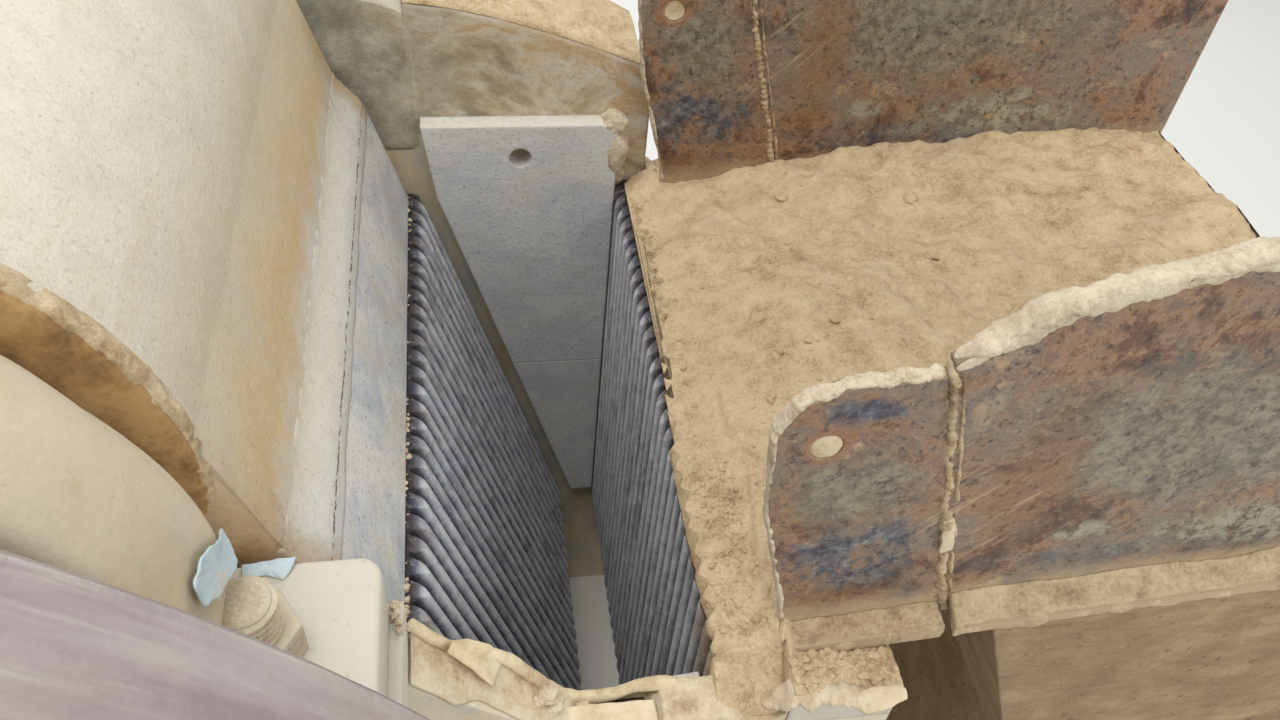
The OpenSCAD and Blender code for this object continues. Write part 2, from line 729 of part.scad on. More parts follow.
// Short plate between the jaw and the chute wall, with a round back edge and a hole
module wing_plate(side) {
    foot_x = front_wall_x + 3;
    lip_x1 = wing_foot_end - 8;
    color(oily_steel) at_lip() on_side(side) {
        along_shaft(chute_w / 2, chute_w / 2 + chute_t) difference() {
            polygon([
                [foot_x, mouth_z], [wing_foot_end, chute_under(wing_foot_end)], [wing_top_end, wing_top],
                [front_wall_x - 6, wing_top - 6], [front_wall_x - 38, wing_top - 24], [front_wall_x - 50, wing_top - 54],
                [front_wall_x - 38, wing_top - 151], [front_wall_x - 6, wing_top - 271]
            ]);
            translate([front_wall_x - 9, wing_top - 67]) circle(wing_hole_r);
        }
        along_shaft(chute_w / 2 + chute_t, chute_w / 2 + chute_t + lip_w) polygon([
            [foot_x, mouth_z], [lip_x1, chute_under(lip_x1)],
            [lip_x1, chute_z(lip_x1) + 2], [foot_x, chute_z(foot_x) + 4]
        ]);
    }
}
module near_wing_plate() { wing_plate(near); }
module far_wing_plate() { wing_plate(far); }

module chute_block() {
    half = chute_w / 2 + chute_t + lip_w;
    color(concrete) at_lip() along_shaft(-half, half) polygon([
        [block_start + block_overhang, 0], [chute_end, 0], [chute_end, chute_under(chute_end) - fit_gap],
        [block_start, chute_under(block_start) - fit_gap],
        [block_start + block_overhang, chute_under(block_start) - block_flare_h]
    ]);
}

// Rib of the swing jaw: from the barrel's back down to the toggle beam
module jaw_rib_outline() {
    polygon([
        [axis_x, axis_z], [axis_x - barrel_r * cos(20), axis_z - barrel_r * sin(20)],
        [toggle_beam_rear, toggle_beam_top - 20], [toggle_beam_rear, toggle_beam_top - toggle_beam_h],
        [-jaw_plate_t - 10, toggle_beam_top - toggle_beam_h], [-jaw_plate_t - 10, 0]
    ]);
}

module swing_jaw() {
    toe_x = -tooth_h - 6;
    shoulder = pocket_top + clamp_bar_h + 26;
    lug_t = 20;
    color(dust) on_jaw() difference() {
        union() {
            along_shaft(-swing_half_w, swing_half_w) {
                polygon([
                    [jaw_front_x, shoulder], [jaw_front_x, pocket_top], [-jaw_plate_t, pocket_top],
                    [-jaw_plate_t, -plate_len - pocket_top], [toe_x, -plate_len - pocket_top],
                    [toe_x - 12, -plate_len - toe_h], [jaw_back_x, -plate_len - toe_h], [jaw_back_x, shoulder]
                ]);
                translate([toggle_beam_rear, toggle_beam_top - toggle_beam_h])
                    square([-jaw_plate_t - toggle_beam_rear - 10, toggle_beam_h]);
            }
            along_shaft(-barrel_len / 2, barrel_len / 2) {
                translate([axis_x, axis_z]) circle(barrel_r);
                polygon([
                    [jaw_front_x, axis_z], [jaw_front_x, shoulder - 1], [jaw_back_x, shoulder - 1],
                    [axis_x, axis_z - barrel_r * 0.7]
                ]);
            }
            for (y = [-barrel_len / 2, -barrel_len / 6 - jaw_rib_t / 2, barrel_len / 6 - jaw_rib_t / 2, barrel_len / 2 - jaw_rib_t])
                along_shaft(y, y + jaw_rib_t) jaw_rib_outline();
            for (s = [-1, 1], e = [-1, 1])
                translate([0, s * tension_rod_y + e * (tension_rod_r + 8 + lug_t / 2) - lug_t / 2, 0])
                    along_shaft(0, lug_t) {
                        translate([pin_x, pin_z]) circle(tension_pin_r + 17);
                        translate([pin_x - tension_pin_r - 13, pin_z])
                            square([2 * (tension_pin_r + 13), toggle_beam_top - toggle_beam_h - pin_z + 10]);
                    }
        }
        round_bar(axis_x, axis_z, eccentric_r + bearing_clearance, -barrel_len, barrel_len);
        round_bar(toggle_seat_x, toggle_seat_z, seat_groove_r, -barrel_len, barrel_len);
        for (s = [-1, 1])
            round_bar(pin_x, pin_z, tension_pin_r, s * tension_rod_y - 60, s * tension_rod_y + 60);
    }
}

module clamp_bar() {
    half = swing_half_w - 12;
    color(worn_steel) on_jaw() along_shaft(-half, half) polygon([
        [jaw_front_x, pocket_top + 1], [jaw_front_x + clamp_bar_t, pocket_top + 1],
        [jaw_front_x + clamp_bar_t, pocket_top + clamp_bar_h - 10], [jaw_front_x + clamp_bar_t - 8, pocket_top + clamp_bar_h],
        [jaw_front_x, pocket_top + clamp_bar_h]
    ]);
}

module barrel_end_rings() {
    color(dust) on_jaw() for (s = [-1, 1]) difference() {
        round_bar(axis_x, axis_z, barrel_r - 50, s > 0 ? barrel_len / 2 : -barrel_len / 2 - end_ring_t,
                  s > 0 ? barrel_len / 2 + end_ring_t : -barrel_len / 2);
        round_bar(axis_x, axis_z, eccentric_r + 3, -barrel_len, barrel_len);
    }
}

module tension_pins() {
    color(worn_steel) on_jaw() for (s = [-1, 1])
        round_bar(pin_x, pin_z, tension_pin_r - fit_gap, s * tension_rod_y - 50, s * tension_rod_y + 50);
}

hub_start = rim_inner_y - hub_reach;
rim_outer_y = rim_inner_y + rim_w;

module eccentric_shaft() {
    half = barrel_len / 2 + end_ring_t;
    color(worn_steel) at_lip() {
        round_bar(-shaft_back, shaft_z - throw, eccentric_r, -half, half);
        round_bar(-shaft_back, shaft_z, journal_r, -hub_start, hub_start);
        round_bar(-shaft_back, shaft_z, wheel_seat_r, -rim_outer_y, rim_outer_y);
    }
}

// A flywheel seen along the shaft: x is the radius, y the place along the shaft
module wheel_section() {
    web_y = rim_inner_y + rim_w / 2 - web_t / 2;
    polygon([
        [wheel_seat_r, hub_start], [hub_r, hub_start], [hub_r + 14, web_y],
        [flywheel_r - rim_t - 10, web_y], [flywheel_r - rim_t, rim_inner_y], [flywheel_r - 3, rim_inner_y],
        [flywheel_r, rim_inner_y + 3], [flywheel_r, rim_outer_y - 3], [flywheel_r - 3, rim_outer_y],
        [flywheel_r - rim_t, rim_outer_y], [flywheel_r - rim_t - 10, web_y + web_t],
        [hub_r + 14, web_y + web_t], [hub_r, rim_outer_y], [wheel_seat_r, rim_outer_y]
    ]);
}

module wheel(grooves) {
    translate([-shaft_back, 0, shaft_z]) rotate([-90, 0, 0]) difference() {
        rotate_extrude($fn = 160) difference() {
            wheel_section();
            if (grooves > 0) for (i = [0 : grooves - 1])
                translate([flywheel_r, rim_inner_y + rim_w / 2 + (i - (grooves - 1) / 2) * belt_pitch])
                    polygon([[1, -7.5], [-belt_groove_d, -4], [-belt_groove_d, 4], [1, 7.5]]);
        }
        for (i = [0 : web_holes - 1]) rotate([0, 0, (i + 0.5) * 360 / web_holes])
            translate([(hub_r + flywheel_r - rim_t) / 2, 0, hub_start])
                cylinder(h = rim_outer_y - hub_start + through, r = web_hole_r);
    }
}

module near_flywheel() { color(wheel_paint) at_lip() on_side(near) wheel(0); }
module belt_flywheel() { color(wheel_paint) at_lip() wheel(belt_grooves); }

module shaft_end_plates() {
    color(worn_steel) at_lip() for (side = [near, far]) on_side(side)
        round_bar(-shaft_back, shaft_z, wheel_seat_r + 24, rim_outer_y, rim_outer_y + 14);
}

near_side_wall();
far_side_wall();
far_guard_plate();
near_seat_beam();
far_seat_beam();
near_base_flange();
far_base_flange();
near_wall_ribs();
far_wall_ribs();
front_wall();
front_wall_ribs();
front_ledge();
rear_wall();
rear_wall_ribs();
shim_pack();
toggle_block();
toggle_plate();
fixed_jaw_plate();
near_cheek_plate();
far_cheek_plate();
near_lower_cheek();
far_lower_cheek();
near_bearing_housing();
far_bearing_housing();
near_end_cover();
far_end_cover();
near_housing_studs();
far_housing_studs();
tension_rods();
tension_springs();
chute_floor();
near_chute_wall();
far_chute_wall();
near_wing_plate();
far_wing_plate();
chute_block();
swing_jaw();
swing_jaw_plate();
clamp_bar();
barrel_end_rings();
tension_pins();
eccentric_shaft();
near_flywheel();
belt_flywheel();
shaft_end_plates();
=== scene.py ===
# %% [markdown]
# # A jaw crusher under stone dust
# The machine crushes stone between a fixed toothed plate and a swinging one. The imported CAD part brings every
# steel and cast piece, already in its place, in metres. This lesson gives each of them a finish, and adds what
# only a used machine has: drifts of dust, crusts along edges, torn plate, a weld bead, threads and bolt heads.

# %% Load the part
import bmesh
import bpy
import numpy as np
from mathutils import Matrix


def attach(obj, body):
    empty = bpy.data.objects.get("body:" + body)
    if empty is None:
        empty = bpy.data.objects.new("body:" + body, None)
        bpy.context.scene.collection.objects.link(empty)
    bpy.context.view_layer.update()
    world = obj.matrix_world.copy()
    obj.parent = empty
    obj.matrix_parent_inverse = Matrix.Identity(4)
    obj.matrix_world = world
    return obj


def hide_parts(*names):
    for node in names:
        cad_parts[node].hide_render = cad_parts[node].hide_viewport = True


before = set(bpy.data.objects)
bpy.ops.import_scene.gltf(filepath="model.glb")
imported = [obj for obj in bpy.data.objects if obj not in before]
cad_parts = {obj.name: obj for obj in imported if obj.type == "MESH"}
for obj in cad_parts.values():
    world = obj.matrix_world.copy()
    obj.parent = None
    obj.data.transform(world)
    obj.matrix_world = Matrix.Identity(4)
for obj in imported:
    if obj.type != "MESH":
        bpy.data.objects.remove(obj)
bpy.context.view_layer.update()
print("nodes loaded:", len(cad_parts))

# %% [markdown]
# ## Where things are
# Places are easier to read in the machine's own terms: so far from the lip (the top edge of the swing jaw's
# teeth), so far from the machine's middle, so high above the mouth, all in millimetres. `at` turns them into
# the row frame's metres. The swing jaw leans, so it has its own pair of directions: out of its face and up it.

# %% Places
MM = 0.001
LIP_X, MOUTH_Z = -0.0835, 0.950
JAW_TILT = np.radians(17)
WALL_Y = 350
GAPE, SHAFT_X, SHAFT_Z, THROW = 250, -360, 283, 10
JAW_FACE = -30.5


def at(x, y, z):
    """Row-frame point: x from the lip, y from the middle, z above the mouth, each in mm."""
    x, y, z = np.broadcast_arrays(np.asarray(x, float), y, z)
    return np.stack([x * MM + LIP_X, y * MM, z * MM + MOUTH_Z], -1)


def on_jaw(out, y, up):
    """Row-frame point given in the swing jaw's directions, turned by its lean about the lip."""
    out, up = np.asarray(out, float), np.asarray(up, float)
    c, s = np.cos(JAW_TILT), np.sin(JAW_TILT)
    return at(out * c - up * s, y, out * s + up * c)


print("the lip is at", at(0, 0, 0))

# %% [markdown]
# ## Uneven shapes
# Dust and torn metal have no straight line in them. Value noise gives smooth random hills: every corner of a
# lattice has a random height, and a point takes the blend of the eight corners round it. Adding the same at
# half the size and half the height, a few times, makes lumps that carry smaller lumps.

# %% Noise
def value_noise(p, seed=0):
    """Random lattice heights, blended by the smooth step 3f^2 - 2f^3 along each axis; from -1 to 1."""
    cell = np.floor(p).astype(np.int64)
    f = p - cell
    f = f * f * (3 - 2 * f)

    def corner(step):
        q = cell + step
        h = (q[..., 0] * 374761393 + q[..., 1] * 668265263 + q[..., 2] * 1442695041 + seed * 1274126177) & 0xFFFFFFFF
        h = ((h ^ (h >> 13)) * 1274126177) & 0xFFFFFFFF
        return (h ^ (h >> 16)) / 2147483648 - 1

    total = 0
    for step in np.ndindex(2, 2, 2):
        weight = np.prod(np.where(step, f, 1 - f), axis=-1)
        total = total + weight * corner(np.array(step))
    return total


def lumps(p, size, seed=0, octaves=4):
    """Sum of value noise with cells of `size` metres, then half the size at half the height, and so on."""
    return sum(value_noise(p / size * 2 ** k + 11.7 * k, seed + k) / 2 ** k for k in range(octaves))


print("noise at the lip:", round(float(lumps(at(0, 0, 0), 0.05)), 3))

# %% [markdown]
# ## From a grid of points to a piece
# A surface is a grid of points, and every four neighbours make a face. A closed piece has two such grids, a top
# and a bottom, with a band round their rims, or one grid that wraps round, as a bar does. The points that meet
# at a seam or a pole are merged, and then Blender turns all the faces outwards.

# %% Grids to meshes
def quads(nu, nv, wrap_u=False, wrap_v=False):
    """Faces of a grid: corner (i, j), its neighbour in u, the one across, its neighbour in v."""
    i = np.arange(nu if wrap_u else nu - 1)[:, None]
    j = np.arange(nv if wrap_v else nv - 1)[None, :]
    a, b = i % nu * nv, (i + 1) % nu * nv
    c, d = j % nv, (j + 1) % nv
    return np.stack([a + c, b + c, b + d, a + d], -1).reshape(-1, 4)


def grid(nu, nv, u=(0, 1), v=(0, 1)):
    """Two arrays of nu rows by nv places: u runs down the rows from one bound to the other, v along them."""
    return np.meshgrid(np.linspace(*u, nu), np.linspace(*v, nv), indexing="ij")


def circle(n):
    """Angles of n even steps round a full turn."""
    return np.linspace(0, 2 * np.pi, n, endpoint=False)


def ball(nu, nv):
    """Directions from a ball's middle, pole to pole in nu rows of nv: (sin a cos b, sin a sin b, cos a)."""
    a, b = np.meshgrid(np.linspace(0, np.pi, nu), circle(nv), indexing="ij")
    return np.stack([np.sin(a) * np.cos(b), np.sin(a) * np.sin(b), np.cos(a)], -1)


def unit(direction):
    """The direction at length 1."""
    return direction / np.linalg.norm(direction, axis=-1, keepdims=True)


def band(a, b):
    """Faces between two rows of point numbers."""
    return np.stack([a[:-1], a[1:], b[1:], b[:-1]], -1)


def shown(obj):
    """Puts an object into the scene."""
    bpy.context.scene.collection.objects.link(obj)
    return obj


SIDES = ((-1, "near"), (1, "far"))


def piece(name, body, finish, parts, smooth=True, merge=2e-5):
    """One object from (points, faces, ...) parts, merged, faced outwards and hung on its CAD body."""
    start, points, corners, sizes = 0, [], [], []
    for p, *groups in parts:
        points.append(p.reshape(-1, 3))
        corners += [group.ravel() + start for group in groups]
        sizes += [np.full(len(group), group.shape[1]) for group in groups]
        start += len(points[-1])
    points, corners, sizes = np.concatenate(points), np.concatenate(corners), np.concatenate(sizes)
    mesh = bpy.data.meshes.new(name)
    mesh.vertices.add(len(points))
    mesh.vertices.foreach_set("co", points.ravel())
    mesh.loops.add(len(corners))
    mesh.loops.foreach_set("vertex_index", corners)
    mesh.polygons.add(len(sizes))
    mesh.polygons.foreach_set("loop_start", np.cumsum(sizes) - sizes)
    mesh.update(calc_edges=True)
    work = bmesh.new()
    work.from_mesh(mesh)
    bmesh.ops.remove_doubles(work, verts=work.verts, dist=merge)
    bmesh.ops.recalc_face_normals(work, faces=work.faces)
    work.to_mesh(mesh)
    work.free()
    mesh.polygons.foreach_set("use_smooth", np.full(len(mesh.polygons), smooth))
    obj = shown(bpy.data.objects.new(name, mesh))
    mesh.materials.append(finish)
    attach(obj, body)
    print(f"{name}: {len(mesh.polygons)} faces")
    return obj


def shell(top, low, faces, rim):
    """Two grids of one shape with the same faces, and a band that joins their rims."""
    n = top.size // 3
    return (np.concatenate([top.reshape(-1, 3), low.reshape(-1, 3)]),
            np.concatenate([faces, faces + n, band(rim, rim + n)]))


def skin(top, low):
    """Closed skin of two grids of one shape: both grids, and a band that joins their rims."""
    nu, nv = top.shape[:2]
    k = np.arange(nu * nv).reshape(nu, nv)
    rim = np.concatenate([k[:-1, 0], k[-1, :-1], k[:0:-1, -1], k[0, ::-1]])
    return shell(top, low, quads(nu, nv), rim)


def heap(x, y, top, low):
    """Closed heap over places x, y: the fine top, and an underside with only the first and last point of each
    row; all in mm."""
    nu, nv = x.shape
    top, low = at(x, y, top), at(x, y, low)
    k = np.arange(nu * nv).reshape(nu, nv)
    left = nu * nv + np.arange(nu)
    right = left + nu
    around = np.concatenate([quads(nu, nv), band(k[:, 0], left), band(left, right), band(right, k[:, -1])])
    ends = [np.stack([np.full(nv, a), row, np.r_[row[1:], b]], -1)
            for row, a, b in ((k[0], left[0], right[0]), (k[-1], left[-1], right[-1]))]
    return np.concatenate([top.reshape(-1, 3), low[:, 0], low[:, -1]]), around, np.concatenate(ends)


def fan(rim, thick, seed, lift=0.0, waves=0.0):
    """Closed sheet inside a closed line of points: rings that shrink to the middle, which stands `lift` mm
    over the rim, with small waves, and the same again `thick` mm lower, along the sheet's own normal."""
    n, rings = len(rim), 16
    middle = rim.mean(0)
    normal = np.cross(rim - middle, np.roll(rim, -1, 0) - middle).sum(0)
    normal *= np.sign(normal[2]) / np.linalg.norm(normal)
    t = np.linspace(0, 1, rings)[:, None, None]
    flat = middle + (rim - middle) * t
    rise = lift * (1 - t[..., 0] ** 2) + waves * lumps(flat, 0.03, seed, 3)
    top = flat + normal * (rise * MM)[..., None]
    edge = (rings - 1) * n + np.r_[0:n, 0]
    return shell(top, top - normal * thick * MM, quads(rings, n, wrap_v=True), edge)


def torn(corners, count=72, depth=0.0015, seed=1):
    """Closed line through corners (x, y, z in mm), cut fine and shaken up to `depth` metres, as a torn edge is."""
    line = along(corners + corners[:1], count + 1)[:-1]
    return line + np.stack([lumps(line, 0.012, seed + k, 3) for k in range(3)], -1) * depth


def along(corners, count):
    """The broken line through corners (x, y, z in mm), cut into `count` points at equal lengths."""
    points = at(*np.array(corners, float).T)
    run = np.r_[0, np.cumsum(np.linalg.norm(np.diff(points, axis=0), axis=1))]
    s = np.linspace(0, run[-1], count)
    return np.stack([np.interp(s, run, points[:, k]) for k in range(3)], -1)


def bar(path, width, height, seed, rough, size, sides=12, ends=0.04, out=(0, 1, 0)):
    """Ellipse of width along `out` and height across it, carried along the path; its size varies with noise and
    shrinks to nothing at both ends as the root of the distance."""
    n = len(path)
    tangent = unit(np.gradient(path, axis=0))
    side = np.broadcast_to(np.asarray(out, float), path.shape)
    side = unit(side - tangent * np.sum(side * tangent, axis=1, keepdims=True))
    up = np.cross(tangent, side)
    turn = circle(sides)[None, :, None]
    ring = side[:, None] * np.cos(turn) * width / 2 + up[:, None] * np.sin(turn) * height / 2
    grow = 1 + rough * lumps(path[:, None] + ring, size, seed)
    t = np.linspace(0, 1, n)
    taper = np.sqrt(np.clip(np.minimum(t, 1 - t) / ends, 0, 1))[:, None]
    return path[:, None] + ring * (grow * taper)[..., None], quads(n, sides, wrap_v=True)


# %% [markdown]
# ## Finishes as node graphs
# Every finish is procedural and reads Object coordinates, so a pattern stays where it is on a piece, whatever
# the camera does. `Finish` keeps the writing short: each method adds one kind of node and returns its output.
# Colours are written as they look in a photograph, from 0 to 255, and turned into linear light.

# %% A small kit for materials
def rgb(r, g, b):
    """Linear colour of an sRGB one: ((c + 0.055) / 1.055) to the power 2.4, or c / 12.92 where c is near 0."""
    c = np.array([r, g, b]) / 255
    return (*np.where(c <= 0.04045, c / 12.92, ((c + 0.055) / 1.055) ** 2.4).tolist(), 1)


def tint(colour):
    """Three numbers from 0 to 255 as a linear colour; a wire stays as it is."""
    return rgb(*colour) if isinstance(colour, tuple) else colour


class Wire:
    """A node's output. Sums and products of wires and numbers add Math nodes, so formulas read as formulas."""
    def __init__(self, finish, socket):
        self.finish, self.socket = finish, socket

    def __add__(self, other):
        return self.finish.math("ADD", self, other)

    def __sub__(self, other):
        return self.finish.math("SUBTRACT", self, other)

    def __rsub__(self, other):
        return self.finish.math("SUBTRACT", other, self)

    def __mul__(self, other):
        return self.finish.math("MULTIPLY", self, other)

    def __abs__(self):
        return self.finish.math("ABSOLUTE", self)


class Finish:
    def __init__(self, name, roughness=0.8, metallic=0.0):
        self.material = bpy.data.materials.new(name)
        self.material.use_nodes = True
        self.tree = self.material.node_tree
        self.shader = self.tree.nodes["Principled BSDF"]
        self.fill(self.shader, {"Roughness": roughness, "Metallic": metallic})
        self.place = self.node("TexCoord", "Object")
        self.facing = self.node("TexCoord", "Normal")

    def fill(self, node, inputs):
        """Gives a node's inputs their wires or constants."""
        for key, value in inputs.items():
            if isinstance(value, Wire):
                self.tree.links.new(value.socket, node.inputs[key])
            elif value is not None:
                node.inputs[key].default_value = value

    def node(self, kind, out, inputs=(), **settings):
        """New node of a kind, with its inputs and settings, and the wire from one of its outputs."""
        node = self.tree.nodes.new("ShaderNode" + kind)
        for key, value in settings.items():
            setattr(node, key, value)
        self.fill(node, dict(inputs))
        return Wire(self, node.outputs[out])

    def stretch(self, x, y, z, turn=0.0):
        """Coordinates turned about Y and scaled along each axis: a small number draws a pattern out."""
        return self.node("Mapping", "Vector", {"Vector": self.place, "Rotation": (0, turn, 0),
                                               "Scale": (1 / x, 1 / y, 1 / z)}, vector_type="TEXTURE")

    def noise(self, size, detail=5, rough=0.55, where=None, bend=0.0):
        """Soft patches about `size` metres wide."""
        return self.node("TexNoise", "Fac", {"Vector": where or self.place, "Scale": 1 / size, "Detail": detail,
                                             "Roughness": rough, "Distortion": bend})

    def cells(self, size, feature="F1"):
        """Grains or cracks about `size` metres apart."""
        return self.node("TexVoronoi", "Distance", {"Vector": self.place, "Scale": 1 / size}, feature=feature)

    def math(self, what, a, b=0.0):
        return self.node("Math", 0, {0: a, 1: b}, operation=what)

    def most(self, a, b):
        return self.math("MAXIMUM", a, b)

    def capped(self, total):
        """The same sum, kept from 0 to 1."""
        total.socket.node.use_clamp = True
        return total

    def span(self, value, low, high):
        """0 where value is at low, 1 where it is at high, straight between."""
        return self.node("MapRange", "Result", {"Value": value, "From Min": low, "From Max": high})

    def ramp(self, value, *stops):
        """Colours at places from 0 to 1, blended between."""
        wire = self.node("ValToRGB", "Color", {"Fac": value})
        stripes = wire.socket.node.color_ramp.elements
        while len(stripes) < len(stops):
            stripes.new(0.5)
        for stripe, (place, colour) in zip(stripes, stops):
            stripe.position, stripe.color = place, rgb(*colour)
        return wire

    def mix(self, share, a, b):
        """Colour a where the share is 0, b where it is 1."""
        return self.node("Mix", 2, {"Factor": share, 6: tint(a), 7: tint(b)}, data_type="RGBA")

    def coats(self, colour, *rows):
        """Layers over a colour: (most it covers, its colour, value, the value where it starts, where it is full)."""
        for most, over, value, start, full in rows:
            colour = self.mix(self.span(value, start, full) * most, colour, over)
        return colour

    def part(self, vector, axis):
        return self.node("SeparateXYZ", axis, {0: vector})

    def distance(self, direction, origin):
        """How far a point lies along a direction from a place: the dot product of the two."""
        along_it = self.node("VectorMath", "Value", {0: self.place, 1: tuple(map(float, direction))},
                             operation="DOT_PRODUCT")
        return along_it - float(np.dot(direction, origin))

    def bevel(self, radius):
        """Normals rounded over sharp edges, and how far each is turned, which marks the edges."""
        rounded = self.node("Bevel", "Normal", {"Radius": radius}, samples=4)
        true = self.node("NewGeometry", "True Normal")
        turned = self.node("VectorMath", "Value", {0: rounded, 1: true}, operation="DOT_PRODUCT")
        return rounded, self.span(turned, 0.985, 0.88)

    def bump(self, height, depth, normal=None):
        """Relief of `depth` metres where the height goes from 0 to 1."""
        return self.node("Bump", "Normal", {"Height": height, "Strength": 1.0, "Distance": depth, "Normal": normal})

    def relief(self, depth, normal, broad, fine, share):
        """Bump from a broad noise and a share of a fine one, each given by its own numbers."""
        return self.bump(self.noise(*broad) + self.noise(*fine) * share, depth, normal)

    def done(self, colour, roughness=None, normal=None):
        self.fill(self.shader, {"Base Color": tint(colour), "Roughness": roughness, "Normal": normal})
        print("finish:", self.material.name)
        return self.material


CREAM, TAN, OCHRE = (214, 202, 178), (198, 178, 144), (198, 172, 128)
GREY_DUST, BLUE_GREY, PALE_BLUE = (196, 191, 178), (164, 172, 178), (178, 198, 206)

# %% [markdown]
# ## Cast iron under stone dust
# The castings are hidden under cream dust that sticks in sheets, with tan stains where water ran and small pale
# chips everywhere. Dust lies thicker on what faces up, and thin on walls, where old grey-blue paint shows.
# The relief has three sizes: soft swellings, a crust and grains.

# %% Dusty casting
def dusty_casting(name, paint=0.35, low_pale=False):
    """Cream and tan clouds, run-down stains, thin places on walls, chips, pits and rubbed edges."""
    f = Finish(name, 0.88)
    normal, edge = f.bevel(0.006)
    dust = f.ramp(f.noise(0.26, 7, 0.62, bend=0.4), (0.30, TAN), (0.44, CREAM), (0.58, CREAM), (0.72, GREY_DUST))
    dust = f.mix(f.span(f.noise(0.10, 6, 0.62, f.stretch(1, 1, 0.22)), 0.50, 0.74), dust, OCHRE)
    thin = f.span(f.part(f.facing, 2), 0.75, 0.1) * f.span(f.noise(0.09, 8, 0.68, bend=0.6), 0.50, 0.62)
    colour = f.mix(thin * paint, dust, f.mix(f.noise(0.05, 6, 0.7), BLUE_GREY, GREY_DUST))
    if low_pale:
        # Over 1.17 m, on the housings, lies browner dust, and on their feet below it is nearly white.
        low = f.span(f.part(f.place, 2) + f.noise(0.03, 6, 0.7) * 0.02, 1.170, 1.161)
        colour = f.mix(0.40, colour, f.mix(f.noise(0.09, 7, 0.65), (166, 146, 112), (196, 178, 146)))
        colour = f.mix(low * 0.85, colour, f.mix(f.noise(0.06, 7, 0.65), (194, 188, 174), (208, 202, 188)))
    colour = f.coats(
        colour, (0.35, (182, 160, 124), f.noise(0.035, 8, 0.75, bend=0.8), 0.60, 0.70),
        (0.12, (236, 228, 208), f.cells(0.012), 0.16, 0.08),
        (0.22, (134, 116, 88), f.noise(0.006, 3, 0.6), 0.64, 0.72))
    colour = f.mix(edge * 0.3, colour, (226, 216, 194))
    return f.done(colour, None, f.relief(0.0026, normal, (0.07, 8, 0.58), (0.004, 3, 0.6), 0.12))


casting = dusty_casting("dust on cast iron", low_pale=True)
wall_casting = dusty_casting("thin dust on the frame", 0.7)


def guard_dust():
    """Brown, ochre and pale clouds on a plate that leans, greener and darker towards the machine's rear, partly the
    plate's own tone and partly painted shade by the barrel.
    """
    f = Finish("mottled dust on the guard", 0.88)
    normal, edge = f.bevel(0.008)
    clouds = f.noise(0.11, 10, 0.70, f.stretch(0.8, 1, 1.3, 0.5), bend=0.5)
    colour = f.ramp(clouds, (0.36, (142, 130, 108)), (0.45, (180, 162, 132)), (0.52, (202, 190, 168)),
                    (0.58, (188, 158, 114)), (0.68, (206, 198, 182)))
    colour = f.coats(
        colour, (0.5, (220, 216, 204), f.noise(0.05, 9, 0.75, f.stretch(0.5, 1, 1.6, 0.5)), 0.54, 0.62))
    # Towards the rear the darker green-grey is partly the plate's own tone and partly painted shade, where the
    # barrel and housing shade the plate.
    back = f.span(f.part(f.place, 0) + f.noise(0.08, 7, 0.7) * 0.12, 0.06, -0.08)
    green_tone_and_shade = f.ramp(f.noise(0.06, 9, 0.72), (0.36, (112, 112, 98)), (0.50, (146, 146, 130)),
                   (0.64, (182, 180, 164)))
    colour = f.mix(back * 0.85, colour, green_tone_and_shade)
    colour = f.coats(colour, (0.35, (118, 100, 78), f.noise(0.006, 4, 0.75), 0.57, 0.68))
    colour = f.mix(edge * 0.35, colour, (222, 214, 196))
    return f.done(colour, None, f.relief(0.005, normal, (0.09, 8, 0.6), (0.005, 3, 0.6), 0.10))


guard_casting = guard_dust()

# %% [markdown]
# ## The swing jaw's face
# Stone rubs the face above the teeth. Going up from the clamp bar there is a speckled lavender-grey band, an
# ochre stain, then the cream of the barrel. The bands follow the height along the leaning face, so the ramp
# reads the distance along that direction, shaken by noise, and fine streaks run along the shaft's direction.

# %% Swing jaw casting
JAW_UP = (-np.sin(JAW_TILT), 0, np.cos(JAW_TILT))
JAW_OUT = (np.cos(JAW_TILT), 0, np.sin(JAW_TILT))


